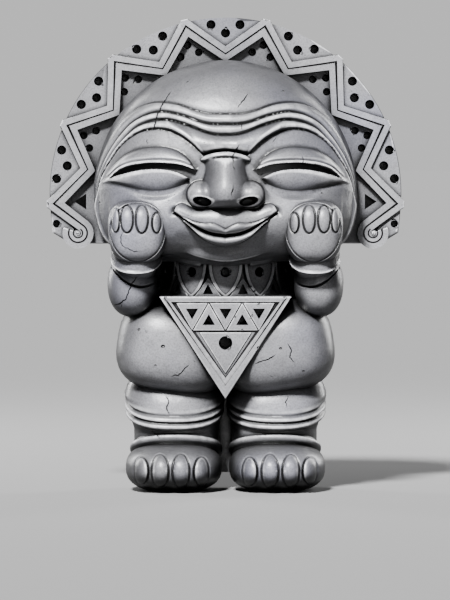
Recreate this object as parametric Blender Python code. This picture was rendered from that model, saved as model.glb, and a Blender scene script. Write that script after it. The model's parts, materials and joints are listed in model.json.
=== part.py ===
"""A standing Taino zemi, carved from one block of grey stone.

The figure faces -Y and stands on its feet at z = 0, with +X to the viewer's right.
A fan-shaped headdress stands behind a broad smiling head. Two hands rest on the cheeks,
a collar of leaves rings the neck, and a three-cornered plate hangs over the belly.
"""

import math

import bmesh
import bpy
import numpy as np
from mathutils import Matrix

MM = 0.001

# The carving is laid out round the headdress, then moved so that its depth is centred on y = 0
FIGURE_Y = 38.4 * MM

# The head. Its outline is read round its centre, from straight down (-90 degrees) to the top.
HEAD_CENTRE_Z = 298 * MM
HEAD_MIDDLE_Y = -8 * MM
HEAD_FRONT = 94 * MM
HEAD_BACK = 64 * MM
HEAD_OUTLINE = [
    (-90, 72), (-75, 74), (-63, 79), (-52, 86), (-44, 97), (-36, 112), (-27, 123.5),
    (-20, 131), (-12, 133.5), (0, 133), (30, 133.5), (60, 134.5), (90, 135),
]
# How square the head is from front to back: rounder at the top, fuller at the jaw
HEAD_FULLNESS = [(-90, 3.6), (-40, 3.3), (0, 2.7), (45, 2.35), (90, 2.3)]

# The forehead's creases, as shares of the head's outline at each angle. The last is the brow's edge.
CREASE_ANGLES = [-4, 6, 14, 22, 30, 38, 45, 52, 60, 70, 90]
CREASES = [
    [0.995, 0.990, 0.983, 0.975, 0.970, 0.960, 0.930, 0.880, 0.795, 0.675, 0.603],
    [0.990, 0.976, 0.954, 0.930, 0.908, 0.884, 0.845, 0.790, 0.695, 0.588, 0.530],
    [0.985, 0.962, 0.932, 0.902, 0.870, 0.838, 0.785, 0.715, 0.615, 0.512, 0.450],
]
BROW_EDGE = [
    (-4, 0.980), (8, 0.948), (16, 0.908), (24, 0.873), (32, 0.828), (39, 0.770), (45, 0.697),
    (50, 0.618), (54, 0.533), (58, 0.430), (60.5, 0.365), (64, 0.350), (75, 0.334), (90, 0.330),
]

# The eye's curves as (distance from the midline, height above the head's centre), in mm
FOLD_TOP = [(30, 30), (35, 41), (46, 51.5), (60, 56), (77, 55.5), (94, 50), (108, 41), (117, 31), (126, 16)]
LID_TOP = [(30, 26), (35, 35), (45, 44.5), (57, 49.3), (72, 50), (90, 46.5), (107, 36), (118, 26), (126, 14)]
SLIT_TOP = [(30, 25.5), (42, 29.6), (60, 31.5), (77, 30.9), (94, 27.8), (106, 22), (114, 16.5), (126, 11.5)]
SLIT_FOOT = [
    (30, 14), (38, 18.3), (48, 22.7), (65, 25.6), (83, 24.4), (98, 21), (107, 18.5), (114, 16.3), (126, 11.4),
]
LID_FOOT = [
    (30, 24), (37, 15.5), (46, 7.5), (58, 1.8), (71, 0.2), (84, 2.2),
    (97, 7.5), (108, 11.2), (116, 12), (123, 10.5), (130, 7),
]

# The lips' curves, in the same way, and the top edge of the pads over the upper lip
LIP_TOP = [(0, -31.5), (6, -28.5), (12.5, -26.3), (20, -26.8), (31, -25.2), (50, -16.5)]
LIP_LINE = [(0, -38), (15.5, -35.7), (31, -29.3), (40, -23.8), (50, -17)]
LIP_FOOT = [(0, -49.5), (10, -47.5), (21.5, -41.5), (35.5, -29.6), (50, -17.5)]
PAD_TOP = [(0, -9), (22, -13), (32, -12.5), (39, -8.5), (45, -7.5), (49, -10.5), (52, -17)]

# The headdress: a slab behind the head, with a zigzag of two bars round the head's own centre
SLAB_FRONT, SLAB_BACK = 10 * MM, 44 * MM
RIM_RADIUS = 178 * MM
PANEL_SHARE = 0.996
PANEL_RISE, PANEL_BEVEL = 5 * MM, 2 * MM
BAR_RISE, BAR_BEVEL = 8.5 * MM, 1.3 * MM
BAND_HALF_WIDTH = 6.3 * MM
BAND_GROOVE = 0.9 * MM
HALF_STEP_DEGREES = 13.33
POINTS_EACH_SIDE = 4
APEX_RADIUS = 175.4 * MM
VALLEY_RADIUS = 140 * MM
APEX_CUT = 181.3 * MM
CORNER_DEGREES = 102.7
SLAB_FOOT_Z = 247.4 * MM
VOLUTE_CENTRE = (149.2 * MM, 258.2 * MM)
VOLUTE_RADIUS = 9.4 * MM
VOLUTE_START, VOLUTE_END, VOLUTE_STEPS = 126, 385, 12
# The back of the headdress has a plain raised border
BORDER_RADIUS, BORDER_HALF_WIDTH, BORDER_RISE = 168 * MM, 5 * MM, 3 * MM
BORDER_END_DEGREES = 99
# Pits in each panel, as (degrees from the panel's middle, radius)
OUTER_PITS = [(-4.9, 171.5 * MM), (4.9, 171.5 * MM), (0.0, 162.5 * MM)]
INNER_PITS = [(1.0, 155 * MM), (-2.6, 145.5 * MM), (4.8, 145.3 * MM)]
OUTER_PIT_RADIUS, INNER_PIT_RADIUS, CORNER_PIT_RADIUS = 4.2 * MM, 3.5 * MM, 3.6 * MM
CORNER_PIT = (171 * MM, 267.7 * MM)
SIDE_NOTCH = [(153 * MM, 290 * MM), (141 * MM, 298 * MM), (141 * MM, 282 * MM)]
PIT_LEAD = 6 * MM

# Rounded blocks, as the middle (across, back, up), the half sizes in mm and how square they are.
# Those to one side of the midline are made twice.
CHEST = ((0, 12, 205), (98, 38, 62), 2.5)
BELLY = ((0, -12, 170), (80, 38, 50), 2.4)
HIP = ((51, -17, 144), (58.5, 60, 47.5), 2.8)
UPPER_ARM = ((84, 2, 214), (25, 27, 54), 2.3)
ELBOW = ((93.5, -49, 207), (24.8, 33, 31.5), 2.3)
FOREARM = ((90, -62, 236), (22, 24, 30), 2.2)
HAND = ((87.5, -84, 261.5), (29, 24, 31.3), 2.6)
FOOT = ((52, -28, 23.5), (48.4, 64, 25.5), 2.5)
VOLUTE_KNOB = ((149.5, 8, 257.8), (4.2, 8.5, 4.2), 2.2)
ELBOW_EGG, HAND_EGG = 0.04, 0.07
HIP_LEAN = math.radians(9)
UPPER_ARM_LEAN, UPPER_ARM_SPREAD = math.radians(48), math.radians(4)

# The cuff at the wrist is two thick rings, as (height, half width) in mm, with bevelled edges
CUFF_RINGS = [(238, 26.3), (247.5, 24.5)]
CUFF_PROFILE = [(0.82, -1), (1, -0.55), (1, 0.55), (0.82, 1)]
CUFF_X, CUFF_Y, CUFF_HALF_HEIGHT = 89, -64, 5.4
CUFF_DEPTH_SHARE = 1.12
CUFF_TILT = math.radians(27)

# Fingers and toes as (distance from the midline, height, half width, half height), in mm
FINGERS = [
    (67, 271, 4.7, 10.4), (81.7, 274.2, 6.2, 13.7), (96.7, 273.9, 5.4, 12.8), (108.6, 273.6, 3.9, 11.8),
]
FINGER_HALF_DEPTH, FINGER_SUNK = 5.2, 2.6
TOES = [(23, 21.6, 7, 14), (43.3, 22.4, 8.2, 16.8), (64.1, 22.4, 8, 16.5), (83.4, 22.2, 6.8, 13.5)]
TOE_HALF_DEPTH, TOE_SUNK = 9.5, 4.0
PAD_FULLNESS = 2.3

# The collar. A leaf runs from its top to its point, as (half width, height above the foot), in mm.
COLLAR_RADIUS = 66 * MM
COLLAR_DEPTH_SHARE = 0.88
COLLAR_LEAVES = 12
COLLAR_STEPS_SHOWN = 4
COLLAR_TOP_Z, COLLAR_FOOT_Z = 243 * MM, 195.5 * MM
COLLAR_CORE = [(COLLAR_FOOT_Z - 3 * MM, 61 * MM), (COLLAR_FOOT_Z, 64 * MM), (COLLAR_TOP_Z, 64 * MM)]
LEAF = [(16.9, 44), (16.2, 27), (13.6, 17), (8.4, 7.4), (0, -0.5)]
LEAF_RISE, LEAF_DEPTH, LEAF_BEVEL = 2.4 * MM, 9 * MM, 1 * MM
LEAF_PIT_Z, LEAF_PIT_RADIUS, LEAF_PIT_DEPTH = 25 * MM, 4.4 * MM, 4 * MM
WEDGE_HALF_WIDTH, WEDGE_FOOT, WEDGE_TOP, WEDGE_DEPTH = 5.4 * MM, 3 * MM, 13.5 * MM, 4.5 * MM

# The plate that hangs from the collar: a frame, a row of teeth and a lower panel
PLATE_FRONT_Y, PLATE_BACK_Y = -81 * MM, -30 * MM
PLATE_TOP_Z, PLATE_TIP_Z = 196.5 * MM, 94.5 * MM
PLATE_HALF_WIDTH = 66 * MM
PLATE_FIELD_DEPTH = 3.4 * MM
FRAME_WIDTH, FRAME_BEVEL, TOP_BAR_WIDTH = 9 * MM, 1.6 * MM, 6 * MM
TOOTH_STEP, TOOTH_HALF_WIDTH, TOOTH_RISE = 16.7 * MM, 15.6 * MM, 2.6 * MM
TOOTH_BEVEL, TOOTH_ROOT = 0.8 * MM, 4 * MM
TEETH_TOP_Z, TEETH_FOOT_Z = 190.3 * MM, 163 * MM
# A tooth's pit is the same shape at this share of its size
TOOTH_PIT_SHARE = 0.4
LOWER_PANEL = [(-26 * MM, 161 * MM), (26 * MM, 161 * MM), (0, 120 * MM)]
PANEL_PIT_Z, PANEL_PIT_RADIUS, PANEL_PIT_DEPTH = 150.5 * MM, 6.1 * MM, 6 * MM

# The legs stand this far from the midline. A section is its height, half width, half depth,
# tilt and shift outwards, in mm.
LEG_X, LEG_Y = 51.3, -12
BAND_TILT = math.radians(21)
ANKLE_TILT = math.radians(-17)
LEG_SECTIONS = [
    (12, 38, 38, ANKLE_TILT, 0),
    (36, 44, 42, ANKLE_TILT, -1.5),
    (40, 47, 45.5, ANKLE_TILT, -1.5),
    (44, 46, 44.5, ANKLE_TILT, -1.5),
    (46, 43.2, 41.5, ANKLE_TILT, -1.8),
    (51, 43.2, 41.5, ANKLE_TILT, -2.2),
    (62, 42.5, 41, 0, -2),
    (74, 45.5, 43.5, BAND_TILT, -0.5),
    (77, 49.8, 48, BAND_TILT, 0),
    (81.5, 49.8, 48, BAND_TILT, 0),
    (83, 46.6, 44.5, BAND_TILT, 0),
    (84.8, 50.2, 48.5, BAND_TILT, 0),
    (89.2, 50.2, 48.5, BAND_TILT, 0),
    (91, 46.8, 45, BAND_TILT, 0),
    (93, 50, 46.5, BAND_TILT, 0),
    (106, 48, 38, 0, 0),
    (125, 38, 30, 0, 0),
]

# The core that the forms are joined to, the web of stone between the legs, and the cut at the floor,
# as outlines in x and z, with their front and back
CORE, CORE_ENDS = [(-0.04, 0.2), (0.04, 0.2), (0.04, 0.25), (-0.04, 0.25)], (-0.03, 0.03)
WEB, WEB_ENDS = [(-0.009, 0.016), (0.009, 0.016), (0.009, 0.12), (-0.009, 0.12)], (0.004, 0.022)
FLOOR_CUT, FLOOR_CUT_ENDS = [(-0.3, -0.1), (0.3, -0.1), (0.3, 0), (-0.3, 0)], (-0.3, 0.3)

STONE_COLOUR = (0.42, 0.42, 0.43, 1.0)
STONE_ROUGHNESS = 0.62

# The head is sampled finely and then thinned, and the whole figure is thinned to this many triangles
HEAD_AROUND, HEAD_RINGS = 220, 150
HEAD_TRIANGLES = 3600
FIGURE_TRIANGLES = 9800


def soft_step(t):
    """0 below 0, 1 above 1, and a smooth rise between."""
    t = np.clip(t, 0, 1)
    return t * t * (3 - 2 * t)


def through(x, knots):
    """The height at x of a smooth curve through the knots, which run from left to right."""
    at, height = np.array(knots, float).T
    slope = np.gradient(height, at)
    i = np.clip(np.searchsorted(at, x) - 1, 0, len(at) - 2)
    width = at[i + 1] - at[i]
    t = np.clip((x - at[i]) / width, 0, 1)
    return (
        height[i] * (1 + 2 * t) * (1 - t) ** 2
        + height[i + 1] * t * t * (3 - 2 * t)
        + slope[i] * width * t * (1 - t) ** 2
        - slope[i + 1] * width * t * t * (1 - t)
    )


def roll(t, power=0.5, lean=1.0):
    """A rounded swelling across t from 0 to 1. A lean under 1 moves its crown towards 0."""
    t = np.clip(t, 0, 1) ** lean
    return np.clip(4 * t * (1 - t), 0, 1) ** power


def ball(x, z, centre, half, rise):
    """How far an upright ellipsoid of that rise stands out at x and z."""
    inside = 1 - ((x - centre[0]) / half[0]) ** 2 - ((z - centre[1]) / half[1]) ** 2
    return rise * np.sqrt(np.clip(inside, 0, None)) - 40 * np.clip(-inside, 0, 1)


def mound(x, z, centre, half, rise):
    """A soft swelling that fades out at its edge."""
    away = np.sqrt(((x - centre[0]) / half[0]) ** 2 + ((z - centre[1]) / half[1]) ** 2)
    return rise * (1 - soft_step(away))


def merge(a, b, blend):
    """The larger of two heights, with the corner between them filled over blend."""
    near = np.clip(0.5 + 0.5 * (a - b) / blend, 0, 1)
    return b + (a - b) * near + blend * near * (1 - near)


def forehead_relief(angle, share):
    """The three creases of the forehead and the brow under them, in mm."""
    angles = CREASE_ANGLES + [180 - CREASE_ANGLES[-2]]
    lines = [through(angle, list(zip(angles, line + line[-2:-1]))) for line in CREASES]
    brow_top = BROW_EDGE + [(180 - BROW_EDGE[-2][0], BROW_EDGE[-2][1])]
    lines.append(through(angle, brow_top))
    reach = 134 * (1 - 0.5 * soft_step((-angle - 2) / 8))
    above = (share - lines[0]) * reach
    height = -2.4 * np.exp(-np.clip(above, 0, None) / 3.2)
    for line, under, rise, lean in zip(lines, lines[1:], (4.4, 4.4, 9.0), (0.8, 0.8, 0.6)):
        width = np.maximum((line - under) * reach, 0.5)
        t = (share - under) / np.maximum(line - under, 1e-4)
        swell = np.minimum(rise, 0.5 * width) * roll(t, 0.7, lean) - np.minimum(2.4, 0.2 * width)
        height = np.where((share <= line) & (share > under), swell, height)
    return height, (share - lines[-1]) * reach


def eye_relief(u, v, under_brow):
    """The closed eye in its socket: its height in mm, and how far it takes the place of the face."""
    fold, lid, slit, slit_foot, foot = (
        through(u, knots) for knots in (FOLD_TOP, LID_TOP, SLIT_TOP, SLIT_FOOT, LID_FOOT)
    )
    ends = soft_step((u - 26.5) / 5) * soft_step((131 - u) / 14)
    tail = soft_step((u - 96) / 30)
    socket = -9.0 + 2.5 * soft_step((fold + 5 - v) / 6)
    t = (v - lid) / np.maximum(fold - lid, 0.3)
    fold_roll = -7.5 + 4.2 * roll(t, 0.5, 0.8)
    t = np.clip((v - slit) / np.maximum(lid - slit, 0.5), 0, 1)
    upper = -7.0 + (15.0 - 8 * tail) * np.sqrt(1 - t**2.3) - 1.3 * np.exp(-(((v - slit - 3.2) / 0.9) ** 2))
    t = np.clip((slit_foot - v) / np.maximum(slit_foot - foot, 0.5), 0, 1)
    lower = -5.5 + (11.5 - 6 * tail) * np.clip(1 - (1.12 * t - 0.12) ** 2.0, 0, 1) ** 0.5
    height = np.where(v > fold, socket, np.where(v > lid, fold_roll, upper))
    gap = soft_step((slit - slit_foot - 0.3) / 1.5)
    height = np.where(v < slit, -5 - 8 * gap, height)
    height = np.where(v < slit_foot, lower, height)
    height = np.where(v < foot, -5.5 + 3 * tail, height)
    mask = ends * soft_step((v - foot + 6) / 6) * soft_step(-under_brow / 1.2)
    return height, mask


def nose_relief(u, v):
    """The nose: its bridge, a round tip, two wings with nostrils, and a roll across the top, in mm."""
    inside = 1 - (np.abs(u) / (23 + 0.1 * np.clip(20 - v, 0, 20))) ** 2.6 - (np.abs(v - 15) / 22.5) ** 3
    bridge = 21 * np.sqrt(np.clip(inside, 0, None)) - 40 * np.clip(-inside, 0, 1)
    tip = ball(u, v, (0, 8), (22, 14.5), 31)
    wing = ball(u, v, (24.5, 1), (13.7, 13.8), 24)
    under = ball(u, v, (0, -4), (27, 10), 18)
    upper_roll = ball(u, v + 0.006 * u * u, (0, 39), (24, 4.6), 12)
    height = merge(merge(bridge, tip, 10), merge(wing, under, 5), 13)
    height = np.maximum(height, upper_roll)
    nostril = 1 - ((u - 22.5) / 8.8) ** 2 - ((v + 5.2 - 0.16 * (u - 22.5)) / 4.6) ** 2
    return height - 20 * np.sqrt(np.clip(nostril, 0, 1)) * (height > 2)


def mouth_relief(u, v):
    """The muzzle, the smiling lips and the chin, in mm."""
    muzzle = mound(u, v, (0, -26), (66, 34), 9)
    top, line, foot, pad_top = (through(u, knots) for knots in (LIP_TOP, LIP_LINE, LIP_FOOT, PAD_TOP))
    ends = soft_step((50.5 - u) / 12)
    t = (v - line) / np.maximum(pad_top - line, 0.5)
    pad = 5.5 * roll(t, 0.5, 0.8) * soft_step((53 - u) / 4)
    t = (v - line) / np.maximum(top - line, 0.3)
    upper = 1.2 * ends * roll(t, 0.8, 1.5) * (v < top)
    t = (v - foot) / np.maximum(line - foot, 0.3)
    lower = 7.0 * ends * roll(t, 0.7, 1.1)
    lips = np.where(v > line, upper + pad, lower) * (v > foot)
    part = 4.4 * np.exp(-(((v - line) / 1.35) ** 2)) * soft_step((53 - u) / 5)
    cut = ends * np.exp(-(((v - top) / 1.1) ** 2)) * 0.7 + ends * np.exp(-(((v - foot) / 1.5) ** 2)) * 1.2
    corner = mound(u, v + 0.25 * (u - 51), (51.5, -15.5), (4.0, 8), 6)
    philtrum = mound(u, v, (0, -20), (7, 12), 1.8)
    chin = mound(u, v, (0, -60), (54, 11), 7.5) - 2.6 * mound(u, v, (0, -52), (30, 4), 1)
    return muzzle + lips - np.maximum(part, cut) - corner - philtrum + chin


def face_relief(x, z):
    """How far the carved face stands out from the plain head at x and z, in metres."""
    u, v = np.abs(x) / MM, (z - HEAD_CENTRE_Z) / MM
    angle = np.degrees(np.arctan2(v, u))
    share = np.hypot(u, v) / through(angle, HEAD_OUTLINE)
    height, under_brow = forehead_relief(angle, share)
    over = soft_step(under_brow / 1.0 + 1)
    cheeks = mound(u, v, (72, -22), (52, 36), 7)
    side = soft_step((5 - angle) / 12) * soft_step((angle + 58) / 16)
    rim = side * (3.4 * roll((share - 0.95) / 0.06, 0.6) - 5.5 * roll((share - 0.82) / 0.14, 1.3, 1.5))
    jaw = 3.2 * roll((share - 0.88) / 0.16, 0.6) - 3.0 * roll((share - 0.8) / 0.1, 1.0)
    jaw = jaw * soft_step((-angle - 46) / 14)
    hollow = mound(u, v, (30, 32), (11, 22), 11)
    face = merge(mouth_relief(u, v) + cheeks + rim + jaw - hollow, nose_relief(u, v), 2.5)
    eye, mask = eye_relief(u, v, under_brow)
    lower_face = face * (1 - mask) + np.maximum(eye, nose_relief(u, v)) * mask
    lower_face = lower_face - 3.5 * np.exp(-((under_brow / 2.0) ** 2)) * (u < 24)
    return (height * over + lower_face * (1 - over)) * MM


def head_place(way):
    """Moves points of a unit sphere, with its poles front and back, to the carved head."""
    side, depth, rise = way.T
    angle = np.degrees(np.arctan2(rise, np.abs(side)))
    share = np.clip(np.hypot(side, rise), 1e-9, 1)
    reach = through(angle, HEAD_OUTLINE) * MM
    power = through(angle, HEAD_FULLNESS)
    forward = np.clip(1 - share**power, 0, 1) ** (1 / power)
    y = np.where(depth <= 0, -HEAD_FRONT * forward, HEAD_BACK * np.abs(depth))
    x, z = side * reach, HEAD_CENTRE_Z + rise * reach
    out = share ** (power - 1) / reach
    ahead = forward ** (power - 1) / HEAD_FRONT
    size = np.hypot(out, ahead)
    relief = np.where(depth <= 0.02, face_relief(x, z), 0) * soft_step((0.06 - depth) / 0.06)
    x = x + relief * out / size * side / share
    z = z + relief * out / size * rise / share
    return np.stack([x, HEAD_MIDDLE_Y + y - relief * ahead / size, z], axis=1)


def ball_place(middle, half, power, egg=0.0, turn=None):
    """Moves points of a unit sphere to a rounded block in mm. An egg above 0 is wider at the top."""
    turned = Matrix.Identity(3) if turn is None else turn

    def place(way):
        out = way / (np.abs(way) ** power).sum(axis=1, keepdims=True) ** (1 / power)
        out[:, 0] *= 1 + egg * out[:, 2]
        return ((out * np.array(half)) @ np.array(turned).T + np.array(middle)) * MM

    return place


def sided(block, side):
    """A rounded block with its middle moved to the given side."""
    (x, y, z), half, power = block
    return (side * x, y, z), half, power


def round_outline(where, radius, sides=8):
    turn = [2 * math.pi * (i + 0.5) / sides for i in range(sides)]
    return [(where[0] + radius * math.cos(a), where[1] + radius * math.sin(a)) for a in turn]


def pit(outline, surface, pits, depth=5 * MM, matrix=None):
    """A blind hole of any outline, cut straight in from above a surface."""
    prism("pit", outline, surface - PIT_LEAD, surface + depth, pits, 0, matrix)


def finish_mesh(name, bm, collection):
    """Puts a finished form into its place and collection, with its faces turned outwards."""
    bmesh.ops.translate(bm, verts=bm.verts, vec=(0, FIGURE_Y, 0))
    bmesh.ops.recalc_face_normals(bm, faces=bm.faces)
    mesh = bpy.data.meshes.new(name)
    bm.to_mesh(mesh)
    bm.free()
    piece = bpy.data.objects.new(name, mesh)
    collection.objects.link(piece)
    return piece


def soft_form(name, place, around, rings, collection, facing_front=False):
    """A sphere whose points are moved by a function of their directions."""
    bm = bmesh.new()
    bmesh.ops.create_uvsphere(bm, u_segments=around, v_segments=rings, radius=1)
    if facing_front:
        bmesh.ops.rotate(bm, verts=bm.verts, matrix=Matrix.Rotation(math.radians(90), 3, "X"))
    way = np.array([vert.co[:] for vert in bm.verts])
    for vert, where in zip(bm.verts, place(way)):
        vert.co = where
    return finish_mesh(name, bm, collection)


def prism(name, outline, front, back, collection, bevel=0.0, matrix=None):
    """An outline in x and z drawn out from front to back, with its front edges cut off."""
    bm = bmesh.new()
    near = [bm.verts.new((x, front, z)) for x, z in outline]
    far = [bm.verts.new((x, back, z)) for x, z in outline]
    face = bm.faces.new(near)
    bm.faces.new(far[::-1])
    for i in range(len(near)):
        bm.faces.new((near[i - 1], near[i], far[i], far[i - 1]))
    if bevel:
        bmesh.ops.bevel(
            bm, geom=list(face.edges), offset=bevel, segments=1, affect="EDGES", clamp_overlap=True
        )
    if matrix is not None:
        bm.transform(matrix)
    return finish_mesh(name, bm, collection)


def ring_points(centre, half_x, half_y, tilt, sides, power=2.3):
    """The points of a level or tilted oval. A tilt above 0 lowers its front."""
    points = []
    for i in range(sides):
        angle = 2 * math.pi * (i + 0.5) / sides
        cos, sin = math.cos(angle), math.sin(angle)
        size = (abs(cos) ** power + abs(sin) ** power) ** (-1 / power)
        y = half_y * size * sin
        points.append((centre[0] + half_x * size * cos, centre[1] + y, centre[2] + y * math.tan(tilt)))
    return points


def loft(name, sections, sides, collection):
    """A closed skin over a stack of ovals, from the lowest to the highest."""
    bm = bmesh.new()
    rows = []
    for centre, half_x, half_y, tilt in sections:
        rows.append([bm.verts.new(p) for p in ring_points(centre, half_x, half_y, tilt, sides)])
    for low, high in zip(rows, rows[1:]):
        for i in range(sides):
            bm.faces.new((low[i - 1], low[i], high[i], high[i - 1]))
    bm.faces.new(rows[0])
    bm.faces.new(rows[-1])
    return finish_mesh(name, bm, collection)


def polar(radius, degrees):
    """A point round the headdress's centre, from straight up towards +X."""
    angle = math.radians(degrees)
    return (radius * math.sin(angle), HEAD_CENTRE_Z + radius * math.cos(angle))


def mirrored(points):
    return [(-x, z) for x, z in reversed(points)]


def arc(radius, start, end, steps):
    return [polar(radius, start + (end - start) * i / steps) for i in range(steps + 1)]


def strip(path, near, far, cut=None):
    """The outline of a strip along a path, between two distances to its left."""
    points = np.array(path)
    along = np.diff(points, axis=0)
    along /= np.linalg.norm(along, axis=1, keepdims=True)
    left = np.stack([-along[:, 1], along[:, 0]], axis=1)
    before, after = np.vstack([left[:1], left]), np.vstack([left, left[-1:]])
    across = (before + after) / (1 + (before * after).sum(axis=1, keepdims=True))
    sides = [blunted([tuple(p) for p in points + across * off], cut) for off in (near, far)]
    return sides[0] + sides[1][::-1]


def blunted(points, cut):
    """Cuts off the corners that stand out beyond a radius round the headdress's centre."""
    if cut is None:
        return points
    reach = [math.hypot(x, z - HEAD_CENTRE_Z) for x, z in points]
    kept = []
    for i, point in enumerate(points):
        if reach[i] <= cut or i in (0, len(points) - 1):
            kept.append(point)
            continue
        for other in (i - 1, i + 1):
            t = (reach[i] - cut) / max(reach[i] - reach[other], 1e-6)
            kept.append(tuple(np.array(point) * (1 - t) + np.array(points[other]) * t))
    return kept


def zigzag():
    """The middle line of the headdress's band, from the right volute over the top to the left one."""
    right = [polar(VALLEY_RADIUS, 0)]
    for k in range(1, 2 * POINTS_EACH_SIDE):
        right.append(polar(APEX_RADIUS if k % 2 else VALLEY_RADIUS, k * HALF_STEP_DEGREES))
    for i in range(VOLUTE_STEPS + 1):
        angle = math.radians(VOLUTE_START + (VOLUTE_END - VOLUTE_START) * i / VOLUTE_STEPS)
        x = VOLUTE_CENTRE[0] + VOLUTE_RADIUS * math.cos(angle)
        right.append((x, VOLUTE_CENTRE[1] + VOLUTE_RADIUS * math.sin(angle)))
    return right[:0:-1] + [(-x, z) for x, z in right]


def headdress(forms, pits):
    """The slab with a border behind, its raised panels, the double zigzag, the volutes and the pits."""
    corner = polar(RIM_RADIUS + 1.5 * MM, CORNER_DEGREES)
    half = arc(RIM_RADIUS, 0, CORNER_DEGREES - 6, 16) + [corner, (VOLUTE_CENTRE[0] + 8 * MM, SLAB_FOOT_Z)]
    outline = mirrored(half)[:-1] + half
    prism("slab", outline, SLAB_FRONT, SLAB_BACK, forms)
    border = arc(BORDER_RADIUS, -BORDER_END_DEGREES, BORDER_END_DEGREES, 28)
    band = strip(border, -BORDER_HALF_WIDTH, BORDER_HALF_WIDTH)
    prism("back border", band, SLAB_BACK - 2 * MM, SLAB_BACK + BORDER_RISE, forms)
    half = [(x * PANEL_SHARE, z) for x, z in half]
    path = zigzag()
    turns = path[VOLUTE_STEPS + 1 : -VOLUTE_STEPS - 1]
    outline = mirrored(half)[:-1] + half + [VOLUTE_CENTRE] + turns + [(-VOLUTE_CENTRE[0], VOLUTE_CENTRE[1])]
    panel_front = SLAB_FRONT - PANEL_RISE
    prism("panels", outline, panel_front, SLAB_FRONT + 2 * MM, forms, PANEL_BEVEL)
    front = SLAB_FRONT - BAR_RISE
    outer = strip(path, -BAND_GROOVE / 2, -BAND_HALF_WIDTH, APEX_CUT)
    inner = strip(path, BAND_GROOVE / 2, BAND_HALF_WIDTH)
    prism("outer bar", outer, front, SLAB_FRONT + 3 * MM, forms, BAR_BEVEL)
    prism("inner bar", inner, front + 0.2 * MM, SLAB_FRONT + 4 * MM, forms, BAR_BEVEL)
    for side in (-1, 1):
        soft_form("volute knob", ball_place(*sided(VOLUTE_KNOB, side)), 10, 6, forms)
        for k in range(POINTS_EACH_SIDE):
            middle = 2 * k * HALF_STEP_DEGREES
            for step, radius in OUTER_PITS:
                if k or side > 0:
                    place = polar(radius, side * (middle + step))
                    pit(round_outline(place, OUTER_PIT_RADIUS), panel_front, pits)
            if k < POINTS_EACH_SIDE - 1:
                for step, radius in INNER_PITS:
                    place = polar(radius, side * (middle + HALF_STEP_DEGREES + step))
                    pit(round_outline(place, INNER_PIT_RADIUS), SLAB_FRONT, pits)
        pit(round_outline((side * CORNER_PIT[0], CORNER_PIT[1]), CORNER_PIT_RADIUS), panel_front, pits)
        pit([(side * x, z) for x, z in SIDE_NOTCH], SLAB_FRONT, pits)


def collar(forms, pits):
    """A ring with leaves in front that point down, each with a pit, and corner pits between them."""
    sections = []
    for z, half in COLLAR_CORE:
        sections.append(((0, 0, z), half, half * COLLAR_DEPTH_SHARE, 0))
    loft("neck", sections, 24, forms)
    outline = [(-x * MM, COLLAR_FOOT_Z + z * MM) for x, z in LEAF]
    outline += [(x * MM, COLLAR_FOOT_Z + z * MM) for x, z in LEAF[-2::-1]]
    low, high = COLLAR_FOOT_Z + WEDGE_FOOT, COLLAR_FOOT_Z + WEDGE_TOP
    wedge = [(-WEDGE_HALF_WIDTH, low), (WEDGE_HALF_WIDTH, low), (0, high)]
    for k in range(-COLLAR_STEPS_SHOWN, COLLAR_STEPS_SHOWN + 1):
        angle = math.pi * k / COLLAR_LEAVES
        across = COLLAR_RADIUS * math.sin(angle)
        where = (across, -COLLAR_RADIUS * COLLAR_DEPTH_SHARE * math.cos(angle), 0)
        facing = math.atan2(COLLAR_DEPTH_SHARE * math.sin(angle), math.cos(angle))
        matrix = Matrix.Translation(where) @ Matrix.Rotation(facing, 4, "Z")
        if k % 2 == 0:
            prism("leaf", outline, -LEAF_RISE, LEAF_DEPTH, forms, LEAF_BEVEL, matrix)
            hole = round_outline((0, COLLAR_FOOT_Z + LEAF_PIT_Z), LEAF_PIT_RADIUS)
            pit(hole, -LEAF_RISE, pits, LEAF_PIT_DEPTH, matrix)
        else:
            pit(wedge, 0, pits, WEDGE_DEPTH, matrix)


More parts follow.
